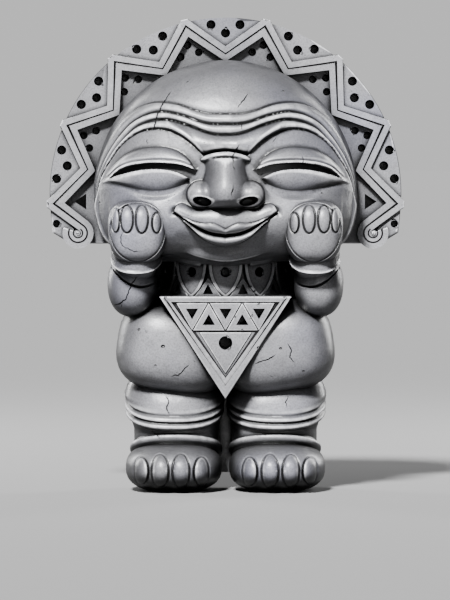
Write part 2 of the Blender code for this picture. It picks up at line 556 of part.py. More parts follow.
def hanging_plate(forms, pits):
    """The three-cornered plate: a raised frame, a row of teeth with pits, and a lower panel."""
    half, top, tip = PLATE_HALF_WIDTH, PLATE_TOP_Z, PLATE_TIP_Z
    field = PLATE_FRONT_Y + PLATE_FIELD_DEPTH
    prism("plate", [(-half + MM, top), (half - MM, top), (0, tip + 2 * MM)], field, PLATE_BACK_Y, forms)
    frame = [(x, min(z, top)) for x, z in strip([(-half, top), (0, tip), (half, top)], 0, FRAME_WIDTH)]
    prism("plate frame", frame, PLATE_FRONT_Y, PLATE_BACK_Y, forms, FRAME_BEVEL)
    inner = half - 8 * MM
    outer = half - MM
    bar_top, bar_foot = top + 0.4 * MM, top + 0.4 * MM - TOP_BAR_WIDTH
    bar = [(-inner, bar_foot), (inner, bar_foot), (outer, bar_top), (-outer, bar_top)]
    prism("plate top", bar, PLATE_FRONT_Y + 0.3 * MM, PLATE_BACK_Y, forms, BAR_BEVEL)
    for k in range(-2, 3):
        middle, up = k * TOOTH_STEP, k % 2
        wide, point = (TEETH_FOOT_Z, TEETH_TOP_Z) if up else (TEETH_TOP_Z, TEETH_FOOT_Z)
        corners = [(middle - TOOTH_HALF_WIDTH, wide), (middle + TOOTH_HALF_WIDTH, wide), (middle, point)]
        prism("tooth", corners, field - TOOTH_RISE, field + TOOTH_ROOT, forms, TOOTH_BEVEL)
        share, mean = TOOTH_PIT_SHARE, wide + (point - wide) / 3
        hole = [(middle + (x - middle) * share, mean + (z - mean) * share) for x, z in corners]
        pit(hole, field - TOOTH_RISE, pits)
    prism("lower panel", LOWER_PANEL, field - TOOTH_RISE, field + TOOTH_ROOT, forms, TOOTH_BEVEL)
    pit(round_outline((0, PANEL_PIT_Z), PANEL_PIT_RADIUS, 10), field - TOOTH_RISE, pits, PANEL_PIT_DEPTH)


def pads(block, fingers, half_depth, sunk, forms):
    """Fingers or toes: upright ovals that stand out of the front of a rounded block."""
    (x, y, z), (half_x, half_y, half_z), power = block
    for pad_x, pad_z, half_width, half_height in fingers:
        off = (abs(pad_x - abs(x)) / half_x) ** power + (abs(pad_z - z) / half_z) ** power
        front = y - half_y * max(1 - off, 0.1) ** (1 / power) + sunk
        middle, half = (math.copysign(pad_x, x), front, pad_z), (half_width, half_depth, half_height)
        soft_form("pad", ball_place(middle, half, PAD_FULLNESS), 8, 8, forms)


def arm(side, forms):
    """A bent arm: shoulder, elbow, a tilted cuff at the wrist, and a hand flat on the cheek."""
    turn = Matrix.Rotation(UPPER_ARM_LEAN, 3, "X") @ Matrix.Rotation(side * UPPER_ARM_SPREAD, 3, "Y")
    soft_form("upper arm", ball_place(*sided(UPPER_ARM, side), turn=turn), 12, 8, forms)
    soft_form("elbow", ball_place(*sided(ELBOW, side), ELBOW_EGG), 14, 10, forms)
    soft_form("forearm", ball_place(*sided(FOREARM, side)), 12, 8, forms)
    for z, half in CUFF_RINGS:
        sections = []
        for share, step in CUFF_PROFILE:
            centre = (side * CUFF_X * MM, CUFF_Y * MM, (z + step * CUFF_HALF_HEIGHT) * MM)
            width = half * share * MM
            sections.append((centre, width, width * CUFF_DEPTH_SHARE, CUFF_TILT))
        loft("cuff", sections, 16, forms)
    hand = sided(HAND, side)
    soft_form("hand", ball_place(*hand, HAND_EGG), 18, 12, forms)
    pads(hand, FINGERS, FINGER_HALF_DEPTH, FINGER_SUNK, forms)


def leg(side, forms):
    """A thigh, two tilted rings under it, a shin, an ankle ring and a foot with four toes."""
    sections = []
    for z, half_x, half_y, tilt, shift in LEG_SECTIONS:
        centre = (side * (LEG_X + shift) * MM, LEG_Y * MM, z * MM)
        sections.append((centre, half_x * MM, half_y * MM, tilt))
    loft("leg", sections, 20, forms)
    foot = sided(FOOT, side)
    soft_form("foot", ball_place(*foot), 20, 12, forms)
    pads(foot, TOES, TOE_HALF_DEPTH, TOE_SUNK, forms)


def body(forms):
    """The chest and back, and the two round hips with the web of stone between the legs."""
    soft_form("chest", ball_place(*CHEST), 18, 10, forms)
    soft_form("belly", ball_place(*BELLY), 16, 10, forms)
    for side in (-1, 1):
        turn = Matrix.Rotation(-side * HIP_LEAN, 3, "Y")
        soft_form("hip", ball_place(*sided(HIP, side), turn=turn), 22, 12, forms)
    prism("web", WEB, *WEB_ENDS, forms)


def stone():
    material = bpy.data.materials.new("stone")
    material.use_nodes = True
    shader = material.node_tree.nodes["Principled BSDF"]
    shader.inputs["Base Color"].default_value = STONE_COLOUR
    shader.inputs["Roughness"].default_value = STONE_ROUGHNESS
    return material


def new_collection(name, hidden=False):
    collection = bpy.data.collections.new(name)
    bpy.context.scene.collection.children.link(collection)
    collection.hide_render = hidden
    return collection


def boolean(piece, operation, collection):
    """Joins or cuts a whole collection. The exact solver leaves open edges in this many overlaps."""
    modifier = piece.modifiers.new(operation.lower(), "BOOLEAN")
    modifier.operation = operation
    modifier.solver = "MANIFOLD"
    modifier.operand_type = "COLLECTION"
    modifier.collection = collection


def main():
    for piece in list(bpy.data.objects):
        bpy.data.objects.remove(piece)
    figure_parts = new_collection("taino_zemi")
    forms = new_collection("forms", True)
    pits = new_collection("pits", True)
    head = soft_form("head", head_place, HEAD_AROUND, HEAD_RINGS, forms, True)
    simpler = head.modifiers.new("fewer faces", "DECIMATE")
    simpler.ratio = HEAD_TRIANGLES / (2 * HEAD_AROUND * (HEAD_RINGS - 1))
    headdress(forms, pits)
    collar(forms, pits)
    hanging_plate(forms, pits)
    body(forms)
    for side in (-1, 1):
        arm(side, forms)
        leg(side, forms)
    prism("floor cut", FLOOR_CUT, *FLOOR_CUT_ENDS, pits)
    for operand in list(forms.objects) + list(pits.objects):
        operand.hide_render = True
        operand.display_type = "WIRE"
    figure = prism("zemi_figure", CORE, *CORE_ENDS, figure_parts)
    boolean(figure, "UNION", forms)
    boolean(figure, "DIFFERENCE", pits)
    depsgraph = bpy.context.evaluated_depsgraph_get()
    carved = figure.evaluated_get(depsgraph).to_mesh()
    carved.calc_loop_triangles()
    fewer = figure.modifiers.new("fewer faces", "DECIMATE")
    fewer.ratio = FIGURE_TRIANGLES / len(carved.loop_triangles)
    figure.data.materials.append(stone())


main()
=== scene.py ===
"""Looks for the carved stone zemi: finely carved meshes over the plain solid, stone, floor and light."""

import json
import math

import bmesh
import bpy
import numpy as np
from mathutils import Matrix, Vector
from mathutils.bvhtree import BVHTree

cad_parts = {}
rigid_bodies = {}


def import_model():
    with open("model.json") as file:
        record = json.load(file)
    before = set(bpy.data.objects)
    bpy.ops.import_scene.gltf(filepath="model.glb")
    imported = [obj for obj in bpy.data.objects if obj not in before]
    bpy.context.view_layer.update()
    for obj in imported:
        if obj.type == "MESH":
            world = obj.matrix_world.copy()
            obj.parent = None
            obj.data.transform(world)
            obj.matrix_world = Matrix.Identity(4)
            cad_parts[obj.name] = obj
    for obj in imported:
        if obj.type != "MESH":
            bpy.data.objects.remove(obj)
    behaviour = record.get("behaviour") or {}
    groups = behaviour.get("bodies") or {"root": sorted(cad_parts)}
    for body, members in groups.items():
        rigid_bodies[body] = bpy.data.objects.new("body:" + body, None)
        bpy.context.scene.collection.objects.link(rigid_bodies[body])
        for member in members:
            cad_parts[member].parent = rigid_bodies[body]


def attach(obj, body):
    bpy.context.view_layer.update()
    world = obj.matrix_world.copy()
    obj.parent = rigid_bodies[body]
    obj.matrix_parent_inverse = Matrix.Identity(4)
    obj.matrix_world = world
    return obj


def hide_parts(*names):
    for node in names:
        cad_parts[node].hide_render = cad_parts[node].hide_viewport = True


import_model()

MM = 0.001

# The carving is laid out round the headdress, then moved so that its depth is centred on y = 0
FIGURE_Y = 38.4 * MM

# The head. Its outline is read round its centre, from straight down (-90 degrees) to the top.
HEAD_CENTRE_Z = 298 * MM
HEAD_MIDDLE_Y = -8 * MM
HEAD_FRONT = 94 * MM
HEAD_BACK = 64 * MM
HEAD_OUTLINE = [
    (-90, 72), (-75, 74), (-63, 79), (-52, 86), (-44, 97), (-36, 112), (-27, 123.5),
    (-20, 131), (-12, 133.5), (0, 133), (30, 133.5), (60, 134.5), (90, 135),
]
# How square the head is from front to back: rounder at the top, fuller at the jaw
HEAD_FULLNESS = [(-90, 3.6), (-40, 3.3), (0, 2.7), (45, 2.35), (90, 2.3)]

# The forehead's creases, as shares of the head's outline at each angle. The last is the brow's edge.
CREASE_ANGLES = [-4, 6, 14, 22, 30, 38, 45, 52, 60, 70, 90]
CREASES = [
    [0.995, 0.990, 0.983, 0.975, 0.970, 0.960, 0.930, 0.880, 0.795, 0.675, 0.603],
    [0.990, 0.976, 0.954, 0.930, 0.908, 0.884, 0.845, 0.790, 0.695, 0.588, 0.530],
    [0.985, 0.962, 0.932, 0.902, 0.870, 0.838, 0.785, 0.715, 0.615, 0.512, 0.450],
]
CREASE_RISES, CREASE_LEANS = (4.4, 4.4, 9.0), (0.8, 0.8, 0.6)
CREASE_DEPTH, CREASE_WIDTH, FOREHEAD_REACH = 2.4, 3.2, 134
BROW_EDGE = [
    (-4, 0.980), (8, 0.948), (16, 0.908), (24, 0.873), (32, 0.828), (39, 0.770), (45, 0.697),
    (50, 0.618), (54, 0.533), (58, 0.430), (60.5, 0.365), (64, 0.350), (75, 0.334), (90, 0.330),
]

# The eye's curves as (distance from the midline, height above the head's centre), in mm
FOLD_TOP = [(30, 30), (35, 41), (46, 51.5), (60, 56), (77, 55.5), (94, 50), (108, 41), (117, 31), (126, 16)]
LID_TOP = [(30, 26), (35, 35), (45, 44.5), (57, 49.3), (72, 50), (90, 46.5), (107, 36), (118, 26), (126, 14)]
SLIT_TOP = [(30, 25.5), (42, 29.6), (60, 31.5), (77, 30.9), (94, 27.8), (106, 22), (114, 16.5), (126, 11.5)]
SLIT_FOOT = [
    (30, 14), (38, 18.3), (48, 22.7), (65, 25.6), (83, 24.4), (98, 21), (107, 18.5), (114, 16.3), (126, 11.4),
]
LID_FOOT = [
    (30, 24), (37, 15.5), (46, 7.5), (58, 1.8), (71, 0.2), (84, 2.2),
    (97, 7.5), (108, 11.2), (116, 12), (123, 10.5), (130, 7),
]
# How far behind the plain head each part of the eye starts, and how far the lids swell, in mm
SOCKET_DEPTH, FOLD_DEPTH, UPPER_DEPTH, LOWER_DEPTH, SLIT_DEPTH, GAP_DEPTH = 11, 7.5, 7, 7.5, 5, 15
FOLD_SWELL, UPPER_SWELL, LOWER_SWELL = 4.2, 15.0, 14.5

# The lips' curves, in the same way, and the top edge of the pads over the upper lip
LIP_TOP = [(0, -31.5), (6, -28.5), (12.5, -26.3), (20, -26.8), (31, -25.2), (50, -16.5)]
LIP_LINE = [(0, -38), (15.5, -35.7), (31, -29.3), (40, -23.8), (50, -17)]
LIP_FOOT = [(0, -49.5), (10, -47.5), (21.5, -41.5), (35.5, -29.6), (50, -17.5)]
PAD_TOP = [(0, -9), (22, -13), (32, -12.5), (39, -8.5), (45, -7.5), (49, -10.5), (52, -17)]

# The nose's half width and the height of its crest, by height above the head's centre, in mm
NOSE_HALF_WIDTH = [(-14, 24), (-4, 27), (4, 27.5), (12, 24.5), (20, 21), (28, 20), (36, 22), (40, 24)]
NOSE_CREST = [(-14, 24), (-4, 29), (5, 31), (12, 29), (20, 24.5), (30, 18.5), (39, 13.5)]
NOSTRIL_PLACE, NOSTRIL_HALF, NOSTRIL_LEAN, NOSTRIL_DEPTH = (22.5, -5.2), (8.8, 4.6), 0.16, 20

# Swellings and hollows of the face, as the middle, the half sizes and the rise, in mm
NOSE_WING = (24.5, 1), (13.7, 13.4), 21
NOSE_ROLL = (0, 39), (25, 5), 11
MUZZLE = (0, -26), (66, 34), 9
MOUTH_CORNER = (51.5, -15.5), (6.0, 7), 2.0
PHILTRUM = (0, -20), (8, 12), 0.8
CHIN, CHIN_CREASE = ((0, -60), (54, 11), 7.5), ((0, -52), (30, 4), 2.6)
CHEEK = (72, -22), (52, 36), 7
EYE_HOLLOW = (30, 32), (11, 22), 13

# The headdress: a slab behind the head, with a zigzag of two bars round the head's own centre
SLAB_FRONT, SLAB_BACK = 10 * MM, 44 * MM
SLAB_BEVEL = 1.5 * MM
RIM_RADIUS, RIM_STEPS = 178 * MM, 60
# The slab's corners stand out a little past the rim, and its foot past the volutes' middles
CORNER_OUT, CORNER_GAP_DEGREES, FOOT_OUT = 1.5 * MM, 6, 8 * MM
PANEL_SHARE = 0.996
PANEL_RISE, PANEL_BEVEL = 5 * MM, 2.5 * MM
BAR_RISE, BAR_BEVEL = 8.5 * MM, 1.7 * MM
BAND_HALF_WIDTH = 6.3 * MM
BAND_GROOVE = 0.9 * MM
BAND_FLOOR_SUNK, INNER_BAR_SUNK = 3 * MM, 0.2 * MM
# How deep the panels, the outer and the inner bar are rooted in the slab
PANEL_ROOT, OUTER_ROOT, INNER_ROOT = 2 * MM, 3 * MM, 4 * MM
HALF_STEP_DEGREES = 13.33
POINTS_EACH_SIDE = 4
APEX_RADIUS = 175.4 * MM
VALLEY_RADIUS = 140 * MM
APEX_CUT = 181.3 * MM
CORNER_DEGREES = 102.7
SLAB_FOOT_Z = 247.4 * MM
VOLUTE_CENTRE = (149.2 * MM, 258.2 * MM)
VOLUTE_RADIUS = 9.4 * MM
VOLUTE_START, VOLUTE_END, VOLUTE_STEPS = 126, 385, 30
# The line cut round the volute's knob
LINE_RADIUS, LINE_HALF_WIDTH, LINE_DEPTH = 4.7 * MM, 0.75 * MM, 4 * MM
LINE_START, LINE_END, LINE_STEPS = 120, 420, 24
# The back of the headdress has a plain raised border
BORDER_RADIUS, BORDER_HALF_WIDTH, BORDER_RISE = 168 * MM, 5 * MM, 3 * MM
BORDER_ROOT, BORDER_BEVEL = 4 * MM, 1.2 * MM
BORDER_END_DEGREES, BORDER_STEPS = 99, 90
# Pits in each panel, as (degrees from the panel's middle, radius)
OUTER_PITS = [(-4.9, 171.5 * MM), (4.9, 171.5 * MM), (0.0, 162.5 * MM)]
INNER_PITS = [(1.0, 155 * MM), (-2.6, 145.5 * MM), (4.8, 145.3 * MM)]
OUTER_PIT_RADIUS, INNER_PIT_RADIUS, CORNER_PIT_RADIUS = 4.2 * MM, 3.5 * MM, 3.6 * MM
CORNER_PIT = (171 * MM, 267.7 * MM)
SIDE_NOTCH = [(153 * MM, 290 * MM), (141 * MM, 298 * MM), (141 * MM, 282 * MM)]
PIT_LEAD = 6 * MM

# Rounded blocks, as the middle (across, back, up), the half sizes in mm and how square they are.
# Those to one side of the midline are made twice.
CHEST = ((0, 12, 205), (98, 38, 62), 2.5)
BELLY = ((0, -12, 170), (80, 38, 50), 2.4)
HIP = ((51, -17, 144), (58.5, 60, 47.5), 2.8)
UPPER_ARM = ((84, 2, 214), (25, 27, 54), 2.3)
ELBOW = ((93.5, -49, 207), (24.8, 33, 31.5), 2.3)
FOREARM = ((90, -62, 236), (22, 24, 30), 2.2)
HAND = ((87.5, -87, 261.5), (29.3, 24, 31.3), 2.9)
FOOT = ((52, -28, 23.5), (48.4, 64, 25.5), 2.5)
VOLUTE_KNOB = ((149.5, 8, 257.8), (4.2, 8.5, 4.2), 2.2)
ELBOW_EGG, HAND_EGG = 0.04, 0.07
HIP_LEAN = math.radians(9)
UPPER_ARM_LEAN, UPPER_ARM_SPREAD = math.radians(48), math.radians(4)

# The cuff at the wrist is a bowl with a rolled rim, as (height, half width) in mm
CUFF_SECTIONS = [
    (233, 21), (233.8, 25), (235, 26.1), (236.2, 25.8), (237, 24.7), (240, 24.9), (246, 25.4),
    (252, 25), (258, 22),
]
CUFF_X, CUFF_Y = 89, -70
CUFF_DEPTH_SHARE = 1.12
CUFF_TILT = math.radians(27)

# Fingers and toes as (distance from the midline, height, half width, half height), in mm, with
# how far they stand out and how deep the line round them is
FINGERS = [
    (68.3, 271, 4.1, 9.6), (83, 274.8, 5.8, 13.7), (97.9, 274.8, 5.9, 13.2), (109.4, 273.8, 3.8, 11.8),
]
FINGER_RISE, FINGER_LINE = 2.4, 1.3
TOES = [(24, 21.6, 7.3, 14.6), (44.4, 22.4, 8.3, 17), (65.3, 22.4, 8.3, 16.6), (84.2, 22.2, 6.9, 13.7)]
TOE_RISE, TOE_LINE = 5.2, 1.0

# The collar. A leaf runs from its top to its point, as (half width, height above the foot), in mm.
COLLAR_RADIUS = 66 * MM
COLLAR_DEPTH_SHARE = 0.88
COLLAR_LEAVES = 12
COLLAR_STEPS_SHOWN = 4
COLLAR_TOP_Z, COLLAR_FOOT_Z = 243 * MM, 195.5 * MM
COLLAR_CORE = [(COLLAR_FOOT_Z - 3 * MM, 61 * MM), (COLLAR_FOOT_Z, 64 * MM), (COLLAR_TOP_Z, 64 * MM)]
LEAF = [(16.9, 44), (16.7, 30), (15.9, 24), (14.3, 18.3), (11.8, 12.8), (8.4, 7.4), (4.2, 2.4), (0, -0.5)]
LEAF_RISE, LEAF_RIM, LEAF_DEPTH, LEAF_BEVEL = 2.4 * MM, 1 * MM, 9 * MM, 0.9 * MM
# The field sunk into a leaf: its share of the leaf across and up, its lift and how far it is sunk
FIELD_ACROSS, FIELD_UP, FIELD_LIFT, FIELD_SUNK = 0.84, 0.95, 3 * MM, 0.4 * MM
LEAF_PIT_Z, LEAF_PIT_RADIUS, LEAF_PIT_DEPTH, LEAF_PIT_SUNK = 25 * MM, 4.4 * MM, 17 * MM, 0.5 * MM
# The pit of a wedge, and how much larger the wedge is: times its width, then below and above
WEDGE_HALF_WIDTH, WEDGE_FOOT, WEDGE_TOP, WEDGE_DEPTH = 5.4 * MM, 3 * MM, 13.5 * MM, 10 * MM
WEDGE_RISE = 1.9 * MM
WEDGE_SPREAD, WEDGE_BELOW, WEDGE_ABOVE, WEDGE_ROOT = 2.8, 4 * MM, 6 * MM, 6 * MM

# The plate that hangs from the collar: a frame, a row of teeth and a lower panel
PLATE_FRONT_Y, PLATE_BACK_Y = -81 * MM, -30 * MM
PLATE_TOP_Z, PLATE_TIP_Z = 196.5 * MM, 94.5 * MM
PLATE_HALF_WIDTH = 66 * MM
PLATE_FIELD_DEPTH = 3.4 * MM
FRAME_WIDTH, FRAME_BEVEL, TOP_BAR_WIDTH = 10.5 * MM, 1.6 * MM, 6 * MM
OUTER_FRAME_WIDTH, FRAME_GAP, FRAME_TOP_OUT = 5.6 * MM, 0.7 * MM, 0.2 * MM
# How far behind the plate's front the outer and inner frames and the top bar start
OUTER_FRAME_SUNK, INNER_FRAME_SUNK, TOP_BAR_SUNK = -0.6 * MM, 0.4 * MM, 0.2 * MM
TOP_BAR_OUT, TOP_BAR_SLANT = 0.4 * MM, 8 * MM
TEETH_EACH_SIDE = 2
TOOTH_STEP, TOOTH_HALF_WIDTH, TOOTH_RISE = 16.7 * MM, 15.6 * MM, 2.6 * MM
TOOTH_BEVEL, TOOTH_ROOT = 0.8 * MM, 4 * MM
TEETH_TOP_Z, TEETH_FOOT_Z = 190.3 * MM, 163 * MM
# A tooth's pit is the same shape at this share of its size
TOOTH_PIT_SHARE = 0.4
LOWER_PANEL = [(-26 * MM, 161 * MM), (26 * MM, 161 * MM), (0, 120 * MM)]
# The ledge round it: how much larger it is, round this height, and how far it is sunk
LEDGE_SHARE, LEDGE_MIDDLE_Z, LEDGE_SUNK = 1.13, 147.3 * MM, 1.6 * MM
PANEL_PIT_Z, PANEL_PIT_RADIUS, PANEL_PIT_DEPTH = 150.5 * MM, 6.1 * MM, 16 * MM

# The legs stand this far from the midline. A section is its height, half width, half depth,
# tilt and shift outwards, in mm.
LEG_X, LEG_Y = 51.3, -12
BAND_TILT = math.radians(19)
ANKLE_TILT = math.radians(-17)
LEG_SECTIONS = [
    (12, 38, 38, ANKLE_TILT, 0), (36, 44, 42, ANKLE_TILT, -1.5), (38, 46, 44.5, ANKLE_TILT, -1.5),
    (41, 47, 45.5, ANKLE_TILT, -1.5), (44, 46, 44.5, ANKLE_TILT, -1.5), (45.4, 42.6, 41, ANKLE_TILT, -2),
    (50, 42.8, 41.2, ANKLE_TILT, -2), (62, 43, 41.4, 0, -2), (76, 45.5, 43.5, BAND_TILT, -0.5),
    (78, 48.5, 46.5, BAND_TILT, 0), (80.5, 50, 48.5, BAND_TILT, 0), (83, 49.6, 48, BAND_TILT, 0),
    (84.6, 46.4, 44.3, BAND_TILT, 0), (86.2, 49.6, 48, BAND_TILT, 0), (88.2, 50.4, 48.8, BAND_TILT, 0),
    (90.2, 49.6, 48, BAND_TILT, 0), (91.8, 46.6, 44.8, BAND_TILT, 0), (93.4, 50, 46.5, BAND_TILT, 0),
    (98, 50.6, 44, 0.2, 0), (106, 48, 38, 0, 0), (125, 38, 30, 0, 0),
]

# The web of stone between the legs: its foot, top and spacing in mm, its middle and half depth
WEB_FOOT, WEB_TOP, WEB_STEP = 16, 120, 2
WEB_Y, WEB_HALF_X, WEB_HALF_Y = 13 * MM, 16 * MM, 9 * MM

# The round holes' walls, as (depth, share of the radius), from in front of the surface inwards
PIT_PROFILE = [(-6 * MM, 1.9), (-0.4 * MM, 1.22), (0.5 * MM, 1.02), (2 * MM, 0.94)]
PIT_SIDES, PIT_FLOOR_SHARE, PIT_DEPTH = 24, 0.8, 14 * MM
BEVEL_STEPS = 3
# A ray that looks for a piece's front starts here
RAY_START_Y = -0.5
# The legs' profile is rounded over steps of this height, in mm
FILLET_STEP, FILLET_ROUNDS = 0.7, 2

# Cracks as (across, up) points in mm from the middle of the soles, read off the front
FACE_CRACKS = [
    [(-55, 401), (-59, 395), (-63, 388), (-68, 378), (-70, 371), (-71, 363)],
    [(23, 399), (17, 392), (12, 385)],
    [(15.5, 372), (16.5, 363)],
    [(14, 349), (9, 341), (7, 336), (7.5, 330), (9, 323)],
    [(5.5, 298), (8, 309)],
    [(-78, 354), (-79, 351.5), (-76.5, 349)],
    [(50, 356), (47, 350)],
    [(77, 337), (77, 329)],
]
HAND_CRACK = [(-102, 262), (-104, 257), (-104, 252), (-102, 248), (-96, 245), (-90, 242.5), (-85, 242)]
ARM_CRACKS = [
    [(-87, 218), (-93, 211), (-96, 204), (-99, 195), (-105, 190), (-115, 187)],
    [(-105, 190), (-104, 186)],
]
BODY_CRACKS = [
    [(-54.5, 116), (-51, 118), (-47.5, 117.5), (-43, 122), (-36, 129)],
    [(29, 129), (38, 133), (43, 134), (50, 139)],
    [(62, 150), (66, 143), (64, 136), (69, 131)],
    [(-80, 163), (-78.5, 160)],
    [(44, 118), (48, 116)],
]
# Small pits as (across, up, radius), in mm
BODY_DENTS = [(-62.5, 147, 2.0), (-86.5, 163.5, 1.6), (55, 145, 1.5), (-70, 128, 1.1), (78, 122, 1.3)]
FACE_DENTS = [(-126, 290, 1.7), (-38, 411, 1.2), (58, 402, 1.3), (96, 300, 1.2)]
LEFT_LEG_CRACKS = [[(-60, 97), (-57, 91), (-59, 84), (-56, 78)], [(-75, 61), (-70, 58), (-66, 54)]]
RIGHT_LEG_CRACKS = [[(63, 96), (60, 90), (62, 85)], [(36, 60), (40, 56)]]
DENT_STRETCH = (1.15, 0.9, 0.9, 1)
HEADDRESS_CHIPS, PLATE_CHIPS = 60, 40
CHIP_RADII = 0.7 * MM, 1.9 * MM

# The camera: its frame is 600 mm tall at the figure, as 1 mm to the photograph's pixel
VIEW_HEIGHT = 600 * MM
VIEW_MIDDLE_X, VIEW_MIDDLE_Z = -0.5 * MM, 193 * MM
VIEW_MIDDLE_Y = -0.03
CAMERA_DISTANCE, CAMERA_ELEVATION, SENSOR_HEIGHT = 6.0, 2.0, 36

# A piece is kept under this many triangles
HEAD_TRIANGLES, PIECE_TRIANGLES = 190000, 120000

# The stone's colours, darker and paler. The flat carved work is paler than the rest.
BODY_STONE = (0.145, 0.145, 0.155), (0.255, 0.255, 0.272)
FLAT_STONE = (0.17, 0.17, 0.18), (0.28, 0.28, 0.295)
# Convex edges turn pale: partly polish from wear, partly a painted highlight
EDGE_HIGHLIGHT = (0.66, 0.66, 0.68)
# The painted shade in its hollows, by how open they are within a wide and a near reach
BODY_HOLLOW_SHADE = [(0.2, 0.04), (0.6, 0.38), (0.95, 1.0)]
FLAT_HOLLOW_SHADE = [(0.12, 0.02), (0.35, 0.22), (0.6, 0.58), (0.9, 1.0)]
NEAR_HOLLOW_SHADE = [(0.35, 0.03), (0.78, 0.72), (0.95, 1.0)]
WIDE_REACH, NEAR_REACH = 34 * MM, 5 * MM
WEAR_ROUNDS = 12
# Painted shade in creases: the bend over which it sets in, and how dark it gets
GROOVE_RANGE, GROOVE_SHADE = (-0.45, -0.04), 0.3
# How shiny the polished figure is, and the duller headdress, collar and plate
BODY_SHINE, FLAT_SHINE = 0.65, 0.25
# Painted shade by facing: palest on the front, darker on the sides, by how far a face looks back
FACING_SHADE = [
    (0.0, 1.0), (0.04, 0.92), (0.12, 0.58), (0.25, 0.32), (0.4, 0.22), (0.55, 0.22), (0.75, 0.4),
    (1.0, 0.6),
]
# The mark that the walls of pits carry, and how dark their painted shade is
PIT_SHADE_MARK, PIT_SHADE = -9.0, 0.05
# How far an edge must stand out to take the painted highlight
RIDGE_RANGE = (0.16, 0.52)
ROUGH_LOW, ROUGH_HIGH, ROUGH_RIDGE = 0.32, 0.46, (0.3, 0.3, 0.3)
POCK_SCALE = 170

# The floor, the lamps and the room
FLOOR_HALF_SIZE = 40
FLOOR_PALE, FLOOR_BOUNCE = (0.22, 0.22, 0.22), (0.08, 0.08, 0.08)
KEY_PLACE, KEY_STRENGTH = (-0.4, -1.35, 1.4), 13.5
FILL_PLACE, FILL_STRENGTH = (0.3, -1.6, 0.1), 0.45
KEY_DEGREES, FILL_DEGREES = 9, 20
RIM_PLACE, RIM_SIZE, RIM_POWER = (1.15, 1.1, 0.8), (0.25, 1.2), 26
RIM_TARGET = (0, 0, 0.25)
ROOM_STRENGTH, BACKDROP_STRENGTH = 0.02, 0.66
WHITE = (1, 1, 1, 1)


def soft_step(t):
    """0 below 0, 1 above 1, and a smooth rise between."""
    t = np.clip(t, 0, 1)
    return t * t * (3 - 2 * t)


def through(x, knots):
    """The height at x of a smooth curve through the knots, which run from left to right."""
    at, height = np.array(knots, float).T
    slope = np.gradient(height, at)
    i = np.clip(np.searchsorted(at, x) - 1, 0, len(at) - 2)
    width = at[i + 1] - at[i]
    t = np.clip((x - at[i]) / width, 0, 1)
    return (
        height[i] * (1 + 2 * t) * (1 - t) ** 2
        + height[i + 1] * t * t * (3 - 2 * t)
        + slope[i] * width * t * (1 - t) ** 2
        - slope[i + 1] * width * t * t * (1 - t)
    )


def roll(t, power=0.5, lean=1.0):
    """A rounded swelling across t from 0 to 1. A lean under 1 moves its crown towards 0."""
    t = np.clip(t, 0, 1) ** lean
    return np.clip(4 * t * (1 - t), 0, 1) ** power


def ball(x, z, centre, half, rise):
    """How far an upright ellipsoid of that rise stands out at x and z."""
    inside = 1 - ((x - centre[0]) / half[0]) ** 2 - ((z - centre[1]) / half[1]) ** 2
    return rise * np.sqrt(np.clip(inside, 0, None)) - 40 * np.clip(-inside, 0, 1)


def mound(x, z, centre, half, rise):
    """A soft swelling that fades out at its edge."""
    away = np.sqrt(((x - centre[0]) / half[0]) ** 2 + ((z - centre[1]) / half[1]) ** 2)
    return rise * (1 - soft_step(away))


def bell(away, width):
    """1 at 0, fading out over the width on both sides."""
    return np.exp(-((away / width) ** 2))


def merge(a, b, blend):
    """The larger of two heights, with the corner between them filled over blend."""
    near = np.clip(0.5 + 0.5 * (a - b) / blend, 0, 1)
    return b + (a - b) * near + blend * near * (1 - near)


def forehead_relief(angle, share):
    """The three creases of the forehead and the brow under them, in mm."""
    angles = CREASE_ANGLES + [180 - CREASE_ANGLES[-2]]
    lines = [through(angle, list(zip(angles, line + line[-2:-1]))) for line in CREASES]
    lines.append(through(angle, BROW_EDGE + [(180 - BROW_EDGE[-2][0], BROW_EDGE[-2][1])]))
    reach = FOREHEAD_REACH * (1 - 0.5 * soft_step((-angle - 2) / 8))
    above = (share - lines[0]) * reach
    height = -CREASE_DEPTH * np.exp(-np.clip(above, 0, None) / CREASE_WIDTH)
    for line, under, rise, lean in zip(lines, lines[1:], CREASE_RISES, CREASE_LEANS):
        width = np.maximum((line - under) * reach, 0.5)
        t = (share - under) / np.maximum(line - under, 1e-4)
        swell = np.minimum(rise, 0.5 * width) * roll(t, 0.7, lean) - np.minimum(CREASE_DEPTH, 0.2 * width)
        height = np.where((share <= line) & (share > under), swell, height)
    return height, (share - lines[-1]) * reach


